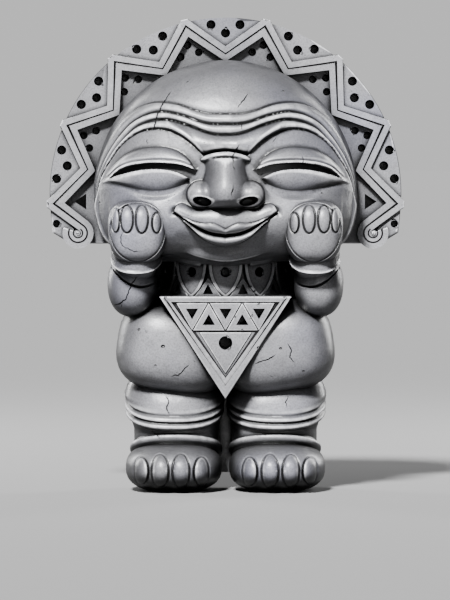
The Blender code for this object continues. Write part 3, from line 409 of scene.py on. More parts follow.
def eye_relief(u, v, under_brow):
    """The closed eye in its socket: its height in mm, and how far it takes the place of the face."""
    curves = FOLD_TOP, LID_TOP, SLIT_TOP, SLIT_FOOT, LID_FOOT
    fold, lid, slit, slit_foot, foot = (through(u, knots) for knots in curves)
    ends = soft_step((u - 26.5) / 5) * soft_step((131 - u) / 14)
    tail, outer = soft_step((u - 96) / 30), soft_step((u - 76) / 36)
    socket = -SOCKET_DEPTH + 3.5 * soft_step((fold + 5 - v) / 6)
    fold_roll = -FOLD_DEPTH + FOLD_SWELL * roll((v - lid) / np.maximum(fold - lid, 0.3), 0.5, 0.8)
    t = np.clip((v - slit) / np.maximum(lid - slit, 0.5), 0, 1)
    upper = -UPPER_DEPTH + (UPPER_SWELL - 8 * tail) * np.sqrt(1 - t**2.3) - 1.3 * bell(v - slit - 3.2, 0.9)
    t = np.clip((slit_foot - v) / np.maximum(slit_foot - foot, 0.5), 0, 1)
    below = -LOWER_DEPTH + 6.5 * outer
    swell = np.clip(1 - (1.15 * t - 0.15) ** 2, 0, 1) ** 0.65
    lower = below + (LOWER_SWELL - 6 * tail - 7 * outer) * swell
    height = np.where(v > fold, socket, np.where(v > lid, fold_roll, upper))
    gap = soft_step((slit - slit_foot - 0.3) / 1.5)
    height = np.where(v < slit, -SLIT_DEPTH - GAP_DEPTH * gap, height)
    height = np.where(v < slit_foot, lower, height)
    height = np.where(v < foot, below, height)
    mask = ends * soft_step((v - foot + 6) / 6) * soft_step(-under_brow / 1.2)
    return height, mask


def nose_relief(u, v):
    """The nose: its bridge and tip, two wings with nostrils, and a roll across the top, in mm."""
    half = through(v, NOSE_HALF_WIDTH)
    crest = through(v, NOSE_CREST) * np.clip(1 - (np.abs(u) / half) ** 2, 0, 1) ** 1.1
    low = np.clip((v + 13.5) / 11, 0, 1)
    bridge = crest * np.sqrt(1 - (1 - low) ** 2) * soft_step((38 - v) / 3)
    upper_roll = ball(u, v + 0.006 * u * u, *NOSE_ROLL)
    height = merge(merge(bridge, ball(u, v, *NOSE_WING), 9), upper_roll, 3)
    across = u - NOSTRIL_PLACE[0]
    up = v - NOSTRIL_PLACE[1] - NOSTRIL_LEAN * across
    nostril = np.clip(1 - (across / NOSTRIL_HALF[0]) ** 2 - (up / NOSTRIL_HALF[1]) ** 2, 0, 1)
    return np.where(height > 2, height - NOSTRIL_DEPTH * np.sqrt(nostril), height)


def mouth_relief(u, v):
    """The muzzle, the smiling lips and the chin, in mm."""
    top, line, foot, pad_top = (through(u, knots) for knots in (LIP_TOP, LIP_LINE, LIP_FOOT, PAD_TOP))
    ends = soft_step((50.5 - u) / 12)
    pad = 4.8 * roll((v - line) / np.maximum(pad_top - line, 0.5), 0.7, 0.8) * soft_step((53 - u) / 4)
    upper = 1.2 * ends * roll((v - line) / np.maximum(top - line, 0.3), 0.8, 1.5) * (v < top)
    lower = 7.0 * ends * roll((v - foot) / np.maximum(line - foot, 0.3), 0.7, 1.1)
    lips = np.where(v > line, upper + pad, lower) * (v > foot)
    part = 4.4 * bell(v - line, 1.35) * soft_step((53 - u) / 5)
    cut = ends * bell(v - top, 1.1) * 0.7 + ends * bell(v - foot, 1.5) * 1.2
    corner = mound(u, v + 0.25 * (u - 51), *MOUTH_CORNER)
    chin = mound(u, v, *CHIN) - mound(u, v, *CHIN_CREASE)
    return mound(u, v, *MUZZLE) + lips - np.maximum(part, cut) - corner - mound(u, v, *PHILTRUM) + chin


def face_relief(x, z):
    """How far the carved face stands out from the plain head at x and z, in metres."""
    u, v = np.abs(x) / MM, (z - HEAD_CENTRE_Z) / MM
    angle = np.degrees(np.arctan2(v, u))
    share = np.hypot(u, v) / through(angle, HEAD_OUTLINE)
    height, under_brow = forehead_relief(angle, share)
    over = soft_step(under_brow / 1.0 + 1)
    side = soft_step((5 - angle) / 12) * soft_step((angle + 58) / 16)
    rim = side * (3.0 * roll((share - 0.955) / 0.06, 0.6) - 4.6 * roll((share - 0.865) / 0.1, 1.1, 1.2))
    jaw = 3.0 * roll((share - 0.93) / 0.1, 0.6) - 4.0 * roll((share - 0.83) / 0.12, 1.0)
    jaw = jaw * soft_step((-angle - 46) / 14)
    nose = nose_relief(u, v)
    plain = mouth_relief(u, v) + mound(u, v, *CHEEK) + rim + jaw - mound(u, v, *EYE_HOLLOW)
    eye, mask = eye_relief(u, v, under_brow)
    lower_face = merge(plain, nose, 2.5) * (1 - mask) + np.maximum(eye, nose) * mask
    lower_face = lower_face - 3.5 * bell(under_brow, 2.0) * (u < 24)
    return (height * over + lower_face * (1 - over)) * MM


def head_place(way):
    """Moves points of a unit sphere, with its poles front and back, to the carved head."""
    side, depth, rise = way.T
    angle = np.degrees(np.arctan2(rise, np.abs(side)))
    share = np.clip(np.hypot(side, rise), 1e-9, 1)
    reach = through(angle, HEAD_OUTLINE) * MM
    power = through(angle, HEAD_FULLNESS)
    forward = np.clip(1 - share**power, 0, 1) ** (1 / power)
    y = np.where(depth <= 0, -HEAD_FRONT * forward, HEAD_BACK * np.abs(depth))
    x, z = side * reach, HEAD_CENTRE_Z + rise * reach
    out = share ** (power - 1) / reach
    ahead = forward ** (power - 1) / HEAD_FRONT
    size = np.hypot(out, ahead)
    relief = np.where(depth <= 0.02, face_relief(x, z), 0) * soft_step((0.06 - depth) / 0.06)
    x = x + relief * out / size * side / share
    z = z + relief * out / size * rise / share
    return np.stack([x, HEAD_MIDDLE_Y + y - relief * ahead / size, z], axis=1)


def ball_place(middle, half, power, egg=0.0, turn=None):
    """Moves points of a unit sphere to a rounded block in mm. An egg above 0 is wider at the top."""
    turned = Matrix.Identity(3) if turn is None else turn

    def place(way):
        out = way / (np.abs(way) ** power).sum(axis=1, keepdims=True) ** (1 / power)
        out[:, 0] *= 1 + egg * out[:, 2]
        return ((out * np.array(half)) @ np.array(turned).T + np.array(middle)) * MM

    return place


def sided(block, side):
    """A rounded block with its middle moved to the given side."""
    (x, y, z), half, power = block
    return (side * x, y, z), half, power


def pads_relief(u, v, pads, rise, groove):
    """Raised ovals, each with a line cut round it."""
    height = np.zeros_like(u)
    for x, z, half_x, half_z in pads:
        across, up = (u - x) / half_x, (v - z) / half_z
        away = np.sqrt(across**2 + up**2) + 1e-9
        slope = np.sqrt((across / half_x) ** 2 + (up / half_z) ** 2) / away + 1e-9
        outside = (away - 1) / slope
        height = height + rise * np.clip(1 - away**2, 0, 1) ** 0.45
        height = height - groove * bell(outside - 0.5, 0.8)
    return height


def relief_place(block, side, relief, egg=0.0):
    """A rounded block to one side, its front carved by a function of where its points are."""
    base = ball_place(*sided(block, side), egg)

    def place(way):
        points = base(way)
        points[:, 1] -= relief(side * points[:, 0] / MM, points[:, 2] / MM, -way[:, 1]) * MM
        points[:, 2] = np.maximum(points[:, 2], 0)
        return points

    return place


def hand_relief(u, v, ahead):
    """The back of a hand, with a worn rim and four fingers."""
    (x, _, z), (half_x, _, half_z), _ = HAND
    up = (v - z) / half_z
    edge = np.hypot((u - x) / half_x / (1 + HAND_EGG * up), up)
    pads = pads_relief(u, v, FINGERS, FINGER_RISE, FINGER_LINE)
    rim = 1.2 * roll((edge - 0.94) / 0.08, 0.7) - 0.7 * bell(edge - 0.925, 0.022)
    return (pads + rim * soft_step(1 - pads / 0.5)) * soft_step(ahead / 0.2)


def elbow_relief(u, v, ahead):
    """The line cut across the front of the bent elbow."""
    line = 206.5 + 0.021 * (u - 84) ** 2
    return -2.4 * bell(v - line, 0.9) * (ahead > 0)


def foot_relief(u, v, ahead):
    """A foot's four rounded toes."""
    return pads_relief(u, v, TOES, TOE_RISE, TOE_LINE) * soft_step(ahead / 0.25)


def even_shares(rings):
    """Shares of the way from the middle of the face to its edge, evenly spaced over its curve."""
    share = np.sin(np.linspace(0, math.pi / 2, 3000))
    forward = np.clip(1 - share**2.6, 0, 1) ** (1 / 2.6)
    along = np.cumsum(np.hypot(np.diff(share, prepend=0), 0.7 * np.diff(forward, prepend=1)))
    return np.interp(np.linspace(0, along[-1], rings + 1), along, share)[1:]


def ways(share, depth, around):
    """Rings of unit directions round the y axis, and one at each end."""
    turn = np.arange(around) * 2 * math.pi / around
    side, rise = np.outer(share, np.cos(turn)), np.outer(share, np.sin(turn))
    rings = np.stack([side, np.outer(depth, np.ones(around)), rise], axis=2).reshape(-1, 3)
    return np.vstack([[0, -1, 0], rings, [0, 1, 0]])


def ball_ways(around, rings):
    turn = np.linspace(0, math.pi, rings + 1)[1:-1]
    return ways(np.sin(turn), -np.cos(turn), around)


def skin(name, points, around, group):
    """A closed mesh over rings of points, with a single point at each end."""
    rings = (len(points) - 2) // around
    first = 1 + around * np.arange(rings - 1)[:, None]
    here = np.arange(around)[None, :]
    after = (here + 1) % around
    quads = np.stack([first + here, first + around + here, first + around + after, first + after], axis=2)
    faces = quads.reshape(-1, 4).tolist()
    last = 1 + around * (rings - 1)
    for i in range(around):
        faces.append((0, 1 + i, 1 + (i + 1) % around))
        faces.append((len(points) - 1, last + (i + 1) % around, last + i))
    mesh = bpy.data.meshes.new(name)
    mesh.from_pydata((points + np.array([0, FIGURE_Y, 0])).tolist(), [], faces)
    group.append(mesh)


def soft_form(name, place, around, rings, group):
    """A sphere whose points are moved by a function of their directions."""
    skin(name, place(ball_ways(around, rings)), around, group)


def as_mesh(name, bm):
    mesh = bpy.data.meshes.new(name)
    bm.to_mesh(mesh)
    bm.free()
    return mesh


def finish_mesh(name, bm, group, matrix=None):
    """Puts a finished form into its place and group, with its faces turned outwards."""
    if matrix is not None:
        bm.transform(matrix)
    bmesh.ops.translate(bm, verts=bm.verts, vec=(0, FIGURE_Y, 0))
    bmesh.ops.recalc_face_normals(bm, faces=bm.faces)
    group.append(as_mesh(name, bm))


def prism(name, outline, front, back, group, bevel=0.0, matrix=None, both=False):
    """An outline in x and z drawn out from front to back, with its front edges rounded, or both."""
    bm = bmesh.new()
    near = [bm.verts.new((x, front, z)) for x, z in outline]
    far = [bm.verts.new((x, back, z)) for x, z in outline]
    faces = [bm.faces.new(near), bm.faces.new(far[::-1])]
    for i in range(len(near)):
        bm.faces.new((near[i - 1], near[i], far[i], far[i - 1]))
    if bevel:
        edges = [edge for face in faces[: 1 + both] for edge in face.edges]
        bmesh.ops.bevel(
            bm, geom=edges, offset=bevel, segments=BEVEL_STEPS, profile=0.5, affect="EDGES",
            clamp_overlap=True,
        )
    finish_mesh(name, bm, group, matrix)


def ring_points(centre, half_x, half_y, tilt, sides, power=2.3):
    """The points of a level or tilted oval. A tilt above 0 lowers its front."""
    points = []
    for i in range(sides):
        angle = 2 * math.pi * (i + 0.5) / sides
        cos, sin = math.cos(angle), math.sin(angle)
        size = (abs(cos) ** power + abs(sin) ** power) ** (-1 / power)
        y = half_y * size * sin
        points.append((centre[0] + half_x * size * cos, centre[1] + y, centre[2] + y * math.tan(tilt)))
    return points


def closed_tube(rows):
    """A form skinned over a stack of rings of points, and closed at both ends."""
    bm = bmesh.new()
    rows = [[bm.verts.new(point) for point in row] for row in rows]
    for low, high in zip(rows, rows[1:]):
        for i in range(len(low)):
            bm.faces.new((low[i - 1], low[i], high[i], high[i - 1]))
    bm.faces.new(rows[0])
    bm.faces.new(rows[-1])
    return bm


def loft(name, sections, sides, group):
    """A closed skin over a stack of ovals, from the lowest to the highest."""
    rows = [ring_points(*section, sides) for section in sections]
    finish_mesh(name, closed_tube(rows), group)


def limb(name, side, middle, rows, sides, group):
    """A loft to one side, through rows of height, half width, half depth, tilt and shift in mm."""
    sections = []
    for z, half_x, half_y, tilt, shift in rows:
        centre = (side * (middle[0] + shift) * MM, middle[1] * MM, z * MM)
        sections.append((centre, half_x * MM, half_y * MM, tilt))
    loft(name, sections, sides, group)


def filleted(sections):
    """More sections at even heights, with the corners between them rounded."""
    rows = np.array(sections, float)
    heights = np.arange(rows[0, 0], rows[-1, 0] + FILLET_STEP, FILLET_STEP)
    dense = np.stack([np.interp(heights, rows[:, 0], column) for column in rows.T], axis=1)
    for _ in range(FILLET_ROUNDS):
        dense[1:-1] = (dense[:-2] + 2 * dense[1:-1] + dense[2:]) / 4
    return dense


def polar(radius, degrees):
    """A point round the headdress's centre, from straight up towards +X."""
    angle = math.radians(degrees)
    return (radius * math.sin(angle), HEAD_CENTRE_Z + radius * math.cos(angle))


def mirrored(points):
    return [(-x, z) for x, z in reversed(points)]


def arc(radius, start, end, steps):
    return [polar(radius, start + (end - start) * i / steps) for i in range(steps + 1)]


def strip(path, near, far, cut=None):
    """The outline of a strip along a path, between two distances to its left."""
    points = np.array(path)
    along = np.diff(points, axis=0)
    along /= np.linalg.norm(along, axis=1, keepdims=True)
    left = np.stack([-along[:, 1], along[:, 0]], axis=1)
    before, after = np.vstack([left[:1], left]), np.vstack([left, left[-1:]])
    across = (before + after) / (1 + (before * after).sum(axis=1, keepdims=True))
    sides = [blunted([tuple(p) for p in points + across * off], cut) for off in (near, far)]
    return sides[0] + sides[1][::-1]


def blunted(points, cut):
    """Cuts off the corners that stand out beyond a radius round the headdress's centre."""
    if cut is None:
        return points
    reach = [math.hypot(x, z - HEAD_CENTRE_Z) for x, z in points]
    kept = []
    for i, point in enumerate(points):
        if reach[i] <= cut or i in (0, len(points) - 1):
            kept.append(point)
            continue
        for other in (i - 1, i + 1):
            t = (reach[i] - cut) / max(reach[i] - reach[other], 1e-6)
            kept.append(tuple(np.array(point) * (1 - t) + np.array(points[other]) * t))
    return kept


def turned(centre, radius, start, end, steps):
    """Points round a centre, between two angles from the +X side towards the top."""
    turn = [math.radians(start + (end - start) * i / steps) for i in range(steps + 1)]
    return [(centre[0] + radius * math.cos(a), centre[1] + radius * math.sin(a)) for a in turn]


def zigzag():
    """The middle line of the headdress's band, from the right volute over the top to the left one."""
    right = [polar(VALLEY_RADIUS, 0)]
    for k in range(1, 2 * POINTS_EACH_SIDE):
        right.append(polar(APEX_RADIUS if k % 2 else VALLEY_RADIUS, k * HALF_STEP_DEGREES))
    right += turned(VOLUTE_CENTRE, VOLUTE_RADIUS, VOLUTE_START, VOLUTE_END, VOLUTE_STEPS)
    return right[:0:-1] + [(-x, z) for x, z in right]


def mark(mesh, name, domain, values):
    """Stores a number for each point or face."""
    mesh.attributes.new(name, "FLOAT", domain).data.foreach_set("value", np.asarray(values, np.float32))


def marked_as_pit(mesh):
    """Lets the walls that a cutter leaves be told from the rest of the stone, so they carry painted shade."""
    mark(mesh, "pit", "FACE", np.ones(len(mesh.polygons)))


def pit(where, radius, surface, pits, depth, matrix=None):
    """A round blind hole with a worn mouth."""
    turn = [2 * math.pi * i / PIT_SIDES for i in range(PIT_SIDES)]
    rows = []
    for down, share in PIT_PROFILE + [(depth, PIT_FLOOR_SHARE)]:
        x, y, z, reach = where[0], surface + down, where[1], radius * share
        rows.append([(x + reach * math.cos(a), y, z + reach * math.sin(a)) for a in turn])
    finish_mesh("pit", closed_tube(rows), pits, matrix)
    marked_as_pit(pits[-1])


def notch(corners, surface, pits, depth, matrix=None):
    """A blind hole with corners."""
    prism("notch", corners, surface - PIT_LEAD, surface + depth, pits, 0, matrix)
    marked_as_pit(pits[-1])


def placed(name, mesh):
    piece = bpy.data.objects.new(name, mesh)
    bpy.context.scene.collection.objects.link(piece)
    return piece


def applied(piece):
    """Makes the modifiers' result the piece's own mesh."""
    depsgraph = bpy.context.evaluated_depsgraph_get()
    mesh = bpy.data.meshes.new_from_object(piece.evaluated_get(depsgraph))
    piece.modifiers.clear()
    old = piece.data
    piece.data = mesh
    bpy.data.meshes.remove(old)
    mesh.name = piece.name
    return piece


def boolean(piece, operation, meshes):
    """Joins or cuts with several closed meshes at once."""
    group = bpy.data.collections.new(operation)
    for mesh in meshes:
        group.objects.link(bpy.data.objects.new(mesh.name, mesh))
    modifier = piece.modifiers.new(operation, "BOOLEAN")
    modifier.operation = operation
    modifier.solver = "MANIFOLD"
    modifier.operand_type = "COLLECTION"
    modifier.collection = group
    applied(piece)
    for operand in list(group.objects):
        bpy.data.objects.remove(operand)
    bpy.data.collections.remove(group)


def joined_by_union(name, forms):
    """One skin from several overlapping forms, with crisp creases between them."""
    piece = placed(name, forms[0])
    boolean(piece, "UNION", forms[1:])
    return piece


def thinned(piece, most=PIECE_TRIANGLES):
    """Keeps a piece under its most triangles."""
    count = sum(len(face.vertices) - 2 for face in piece.data.polygons)
    if count > most:
        fewer = piece.modifiers.new("fewer faces", "DECIMATE")
        fewer.ratio = most / count
        applied(piece)
    return piece


def smooth(piece, degrees=38):
    """Shades a piece smooth but for its creases."""
    piece.data.shade_smooth()
    piece.data.set_sharp_from_angle(angle=math.radians(degrees))
    return piece


def fine(count):
    return count


def front_of(piece):
    """A function that finds the point of a piece's front at x and z."""
    surface = BVHTree.FromObject(piece, bpy.context.evaluated_depsgraph_get())
    return lambda x, z: surface.ray_cast(Vector((x, RAY_START_Y, z)), Vector((0, 1, 0)))[0]


def crack(path, front, width, depth=1.8 * MM):
    """A jagged blade that follows a piece's front, to cut a crack along a path."""
    rng = np.random.default_rng(len(path) * 7 + int(abs(path[0][0])))
    points = []
    for start, end in zip(path, path[1:]):
        start, end = np.array(start, float) * MM, np.array(end, float) * MM
        steps = max(2, int(np.linalg.norm(end - start) / (1.6 * MM)))
        across = np.array([start[1] - end[1], end[0] - start[0]]) / np.linalg.norm(end - start)
        for i in range(steps):
            sway = rng.uniform(-0.5, 0.5) * MM if i else 0
            points.append(start + (end - start) * i / steps + across * sway)
    points.append(np.array(path[-1], float) * MM)
    points = np.array(points)
    along = np.gradient(points, axis=0)
    across = np.stack([-along[:, 1], along[:, 0]], axis=1) / np.linalg.norm(along, axis=1)[:, None]
    rows = []
    for i, (x, z) in enumerate(points):
        hit = front(x, z)
        if hit is None:
            continue
        ends = min(i, len(points) - 1 - i) / 3
        half = width / 2 * (0.25 + 0.75 * min(ends, 1)) * rng.uniform(0.75, 1.25)
        side = across[i]
        right = [(half, -5 * MM), (half, 0), (0.1 * half, depth)]
        outline = right + mirrored(right)
        rows.append([(x + side[0] * out, hit.y + y, z + side[1] * out) for out, y in outline])
    bm = closed_tube(rows)
    bmesh.ops.recalc_face_normals(bm, faces=bm.faces)
    return as_mesh("crack", bm)


def cracked(piece, paths, width=1.2 * MM):
    """Cuts cracks into a finished piece."""
    front = front_of(piece)
    for path in paths:
        boolean(piece, "DIFFERENCE", [crack(path, front, width)])
    return piece


def dented(piece, dents):
    """Knocks small round pits into the front of a finished piece."""
    front = front_of(piece)
    lumps = []
    for x, z, radius in dents:
        bm = bmesh.new()
        bmesh.ops.create_icosphere(bm, subdivisions=2, radius=radius * MM)
        bm.transform(Matrix.Translation(front(x * MM, z * MM)) @ Matrix.Diagonal(DENT_STRETCH))
        lumps.append(as_mesh("dent", bm))
    boolean(piece, "DIFFERENCE", lumps)
    return piece


def bends(mesh):
    """How sharply each face turns away from its neighbours, outwards above 0, in radians per mm."""
    bm = bmesh.new()
    bm.from_mesh(mesh)
    turn = np.zeros(len(bm.faces))
    area = np.array([face.calc_area() for face in bm.faces])
    for edge in bm.edges:
        if len(edge.link_faces) == 2:
            bend = edge.calc_face_angle_signed(0) * edge.calc_length()
            for face in edge.link_faces:
                turn[face.index] += bend
    bm.free()
    return turn / np.maximum(area, 1e-9) * MM


def chipped(piece, count):
    """Breaks small chips out of a crisp piece's front edges."""
    mesh = piece.data
    rng = np.random.default_rng(count)
    bend = bends(mesh)
    edges = [face for face in mesh.polygons if bend[face.index] > 0.6 and face.normal.y < -0.3]
    lumps = []
    for _ in range(count):
        face = edges[rng.integers(len(edges))]
        size = rng.uniform(*CHIP_RADII)
        bm = bmesh.new()
        bmesh.ops.create_icosphere(bm, subdivisions=2, radius=size)
        stretch = Matrix.Diagonal((rng.uniform(1.0, 2.2), rng.uniform(0.5, 0.8), 1, 1))
        bm.transform(Matrix.Rotation(rng.uniform(0, math.pi), 4, "Y") @ stretch)
        for vert in bm.verts:
            vert.co *= rng.uniform(0.82, 1.12)
        bm.transform(Matrix.Translation(face.center + face.normal * size * 0.15))
        lumps.append(as_mesh("chip", bm))
    boolean(piece, "DIFFERENCE", lumps)


def read(items, name, width, kind=np.float32):
    """One property of every item, as rows of numbers."""
    values = np.empty(len(items) * width, kind)
    items.foreach_get(name, values)
    return values.reshape(-1, width)


def mark_edge_light_and_pit_shade(piece):
    """Marks how sharply each face of a crisp piece bends, for painted highlights on edges and painted shade
    in grooves, and its pit walls for painted shade.
    """
    mesh = piece.data
    cut = read(mesh.attributes["pit"].data, "value", 1)[:, 0]
    wear_and_painted_light = np.where(cut > 0.5, PIT_SHADE_MARK, np.clip(bends(mesh) * 0.35, -0.5, 0.5))
    mark(mesh, "wear_and_painted_light", "FACE", wear_and_painted_light)
    return piece


def mark_bulge_light_and_shade(piece):
    """Marks how far each point stands out of its smoothed surroundings, in mm, for painted highlights and
    shade.
    """
    mesh = piece.data
    count = len(mesh.vertices)
    place = read(mesh.vertices, "co", 3).astype(float)
    ends = read(mesh.edges, "vertices", 2, np.int32)
    start, end = ends.T
    shared = np.bincount(ends.ravel(), minlength=count)

    def around(values):
        """The mean of each point's neighbours."""
        total = np.bincount(start, values[end], count) + np.bincount(end, values[start], count)
        return total / shared

    soft = place.copy()
    for _ in range(WEAR_ROUNDS):
        soft = 0.4 * soft + 0.6 * np.stack([around(soft[:, axis]) for axis in range(3)], axis=1)
    wear_and_painted_light = ((place - soft) * read(mesh.vertices, "normal", 3)).sum(axis=1) / MM
    for _ in range(2):
        wear_and_painted_light = (wear_and_painted_light + around(wear_and_painted_light)) / 2
    mark(mesh, "wear_and_painted_light", "POINT", wear_and_painted_light)
    return piece


def smooth_piece(name, forms):
    """A rounded piece: forms joined, thinned and marked by how far each point stands out, for painted
    highlights and shade.
    """
    return mark_bulge_light_and_shade(thinned(joined_by_union(name, forms)))


def carved(name, forms, pits, chips):
    """A crisp piece: forms joined, pits cut, edges chipped, and flat faces kept flat."""
    piece = joined_by_union(name, forms)
    boolean(piece, "DIFFERENCE", pits)
    chipped(piece, chips)
    return mark_edge_light_and_pit_shade(smooth(piece, 32))


def headdress():
    """The slab, its raised outer panels, the double zigzag, the volutes, the pits and the border behind."""
    forms, pits = [], []
    corner = polar(RIM_RADIUS + CORNER_OUT, CORNER_DEGREES)
    foot = (VOLUTE_CENTRE[0] + FOOT_OUT, SLAB_FOOT_Z)
    half = arc(RIM_RADIUS, 0, CORNER_DEGREES - CORNER_GAP_DEGREES, RIM_STEPS) + [corner, foot]
    outline = mirrored(half)[:-1] + half
    prism("slab", outline, SLAB_FRONT, SLAB_BACK, forms, SLAB_BEVEL, None, True)
    border = arc(BORDER_RADIUS, -BORDER_END_DEGREES, BORDER_END_DEGREES, BORDER_STEPS)
    band = strip(border, -BORDER_HALF_WIDTH, BORDER_HALF_WIDTH)
    near, far = SLAB_BACK - BORDER_ROOT, SLAB_BACK + BORDER_RISE
    prism("back border", band, near, far, forms, BORDER_BEVEL, None, True)
    half = [(x * PANEL_SHARE, z) for x, z in half]
    path = zigzag()
    turns = path[VOLUTE_STEPS + 1 : -VOLUTE_STEPS - 1]
    outline = mirrored(half)[:-1] + half + [VOLUTE_CENTRE] + turns + [(-VOLUTE_CENTRE[0], VOLUTE_CENTRE[1])]
    panel_front = SLAB_FRONT - PANEL_RISE
    prism("panels", outline, panel_front, SLAB_FRONT + PANEL_ROOT, forms, PANEL_BEVEL)
    front = SLAB_FRONT - BAR_RISE
    outer = strip(path, -BAND_GROOVE, -BAND_HALF_WIDTH, APEX_CUT)
    inner = strip(path, BAND_GROOVE, BAND_HALF_WIDTH)
    floor = strip(path, -2 * BAND_GROOVE, 2 * BAND_GROOVE)
    prism("band floor", floor, front + BAND_FLOOR_SUNK, SLAB_FRONT + OUTER_ROOT, forms)
    prism("outer bar", outer, front, SLAB_FRONT + OUTER_ROOT, forms, BAR_BEVEL)
    prism("inner bar", inner, front + INNER_BAR_SUNK, SLAB_FRONT + INNER_ROOT, forms, BAR_BEVEL)
    ring = strip(
        turned(VOLUTE_CENTRE, LINE_RADIUS, LINE_START, LINE_END, LINE_STEPS), -LINE_HALF_WIDTH,
        LINE_HALF_WIDTH,
    )
    for side in (-1, 1):
        soft_form("volute knob", ball_place(*sided(VOLUTE_KNOB, side)), 32, 20, forms)
        notch([(side * x, z) for x, z in ring], front, pits, LINE_DEPTH)
        for k in range(POINTS_EACH_SIDE):
            middle = 2 * k * HALF_STEP_DEGREES
            for step, radius in OUTER_PITS:
                if k or side > 0:
                    place = polar(radius, side * (middle + step))
                    pit(place, OUTER_PIT_RADIUS, panel_front, pits, PIT_DEPTH)
            if k < POINTS_EACH_SIDE - 1:
                for step, radius in INNER_PITS:
                    place = polar(radius, side * (middle + HALF_STEP_DEGREES + step))
                    pit(place, INNER_PIT_RADIUS, SLAB_FRONT, pits, PIT_DEPTH)
        pit((side * CORNER_PIT[0], CORNER_PIT[1]), CORNER_PIT_RADIUS, panel_front, pits, PIT_DEPTH)
        notch([(side * x, z) for x, z in SIDE_NOTCH], SLAB_FRONT, pits, PIT_DEPTH)
    return carved("headdress", forms, pits, HEADDRESS_CHIPS)


def collar(forms, pits):
    """A ring with leaves in front that point down, each with a pit, and pitted wedges between them."""
    sections = [((0, 0, z), half, half * COLLAR_DEPTH_SHARE, 0) for z, half in COLLAR_CORE]
    loft("neck", sections, 96, forms)
    foot = COLLAR_FOOT_Z
    outline = [(-x * MM, foot + z * MM) for x, z in LEAF]
    outline += [(x * MM, foot + z * MM) for x, z in LEAF[-2::-1]]
    inner = [(x * FIELD_ACROSS, foot + FIELD_LIFT + (z - foot) * FIELD_UP) for x, z in outline]
    low, high = foot + WEDGE_FOOT, foot + WEDGE_TOP
    hole = [(-WEDGE_HALF_WIDTH, low), (WEDGE_HALF_WIDTH, low), (0, high)]
    wide = WEDGE_SPREAD * WEDGE_HALF_WIDTH
    wedge = [(-wide, low - WEDGE_BELOW), (wide, low - WEDGE_BELOW), (0, high + WEDGE_ABOVE)]
    for k in range(-COLLAR_STEPS_SHOWN, COLLAR_STEPS_SHOWN + 1):
        angle = math.pi * k / COLLAR_LEAVES
        across = COLLAR_RADIUS * math.sin(angle)
        where = (across, -COLLAR_RADIUS * COLLAR_DEPTH_SHARE * math.cos(angle), 0)
        facing = math.atan2(COLLAR_DEPTH_SHARE * math.sin(angle), math.cos(angle))
        matrix = Matrix.Translation(where) @ Matrix.Rotation(facing, 4, "Z")
        if k % 2 == 0:
            prism("leaf", outline, -LEAF_RISE - LEAF_RIM, LEAF_DEPTH, forms, LEAF_BEVEL, matrix)
            prism("leaf field", inner, -LEAF_RISE - PIT_LEAD, -LEAF_RISE + FIELD_SUNK, pits, 0, matrix)
            surface = -LEAF_RISE + LEAF_PIT_SUNK
            pit((0, foot + LEAF_PIT_Z), LEAF_PIT_RADIUS, surface, pits, LEAF_PIT_DEPTH, matrix)
        else:
            prism("wedge", wedge, -WEDGE_RISE, WEDGE_ROOT, forms, LEAF_BEVEL, matrix)
            notch(hole, -WEDGE_RISE, pits, WEDGE_DEPTH, matrix)


def hanging_plate(forms, pits):
    """The three-cornered plate: a double frame, a row of teeth with pits, and a lower panel."""
    half, top, tip = PLATE_HALF_WIDTH, PLATE_TOP_Z, PLATE_TIP_Z
    field = PLATE_FRONT_Y + PLATE_FIELD_DEPTH
    prism("plate", [(-half + MM, top), (half - MM, top), (0, tip + 2 * MM)], field, PLATE_BACK_Y, forms)
    corners = [(-half, top), (0, tip), (half, top)]

    def vee(near, far):
        return [(x, min(z, top + FRAME_TOP_OUT)) for x, z in strip(corners, near, far)]

    bar_top, bar_foot = top + TOP_BAR_OUT, top + TOP_BAR_OUT - TOP_BAR_WIDTH
    inner, outer = half - TOP_BAR_SLANT, half - MM
    bar = [(-inner, bar_foot), (inner, bar_foot), (outer, bar_top), (-outer, bar_top)]
    for name, outline, sunk, bevel in (
        ("plate frame", vee(0, OUTER_FRAME_WIDTH), OUTER_FRAME_SUNK, FRAME_BEVEL),
        ("inner frame", vee(OUTER_FRAME_WIDTH + FRAME_GAP, FRAME_WIDTH), INNER_FRAME_SUNK, LEAF_BEVEL),
        ("plate top", bar, TOP_BAR_SUNK, BAR_BEVEL),
    ):
        prism(name, outline, PLATE_FRONT_Y + sunk, PLATE_BACK_Y, forms, bevel)
    front, root = field - TOOTH_RISE, field + TOOTH_ROOT
    for k in range(-TEETH_EACH_SIDE, TEETH_EACH_SIDE + 1):
        middle, up = k * TOOTH_STEP, k % 2
        wide, point = (TEETH_FOOT_Z, TEETH_TOP_Z) if up else (TEETH_TOP_Z, TEETH_FOOT_Z)
        tooth = [(middle - TOOTH_HALF_WIDTH, wide), (middle + TOOTH_HALF_WIDTH, wide), (middle, point)]
        prism("tooth", tooth, front, root, forms, TOOTH_BEVEL)
        share, mean = TOOTH_PIT_SHARE, wide + (point - wide) / 3
        hole = [(middle + (x - middle) * share, mean + (z - mean) * share) for x, z in tooth]
        notch(hole, front, pits, PANEL_PIT_DEPTH)
    prism("lower panel", LOWER_PANEL, front, root, forms, TOOTH_BEVEL)
    ledge = []
    for x, z in LOWER_PANEL:
        up = LEDGE_MIDDLE_Z + (z - LEDGE_MIDDLE_Z) * LEDGE_SHARE
        ledge.append((x * LEDGE_SHARE, min(up, LOWER_PANEL[0][1])))
    prism("panel ledge", ledge, front + LEDGE_SUNK, root, forms)
    pit((0, PANEL_PIT_Z), PANEL_PIT_RADIUS, front, pits, PANEL_PIT_DEPTH)


def collar_and_plate():
    """The leaf collar round the neck and the three-cornered plate that hangs from it."""
    forms, pits = [], []
    collar(forms, pits)
    hanging_plate(forms, pits)
    return carved("collar_and_plate", forms, pits, PLATE_CHIPS)


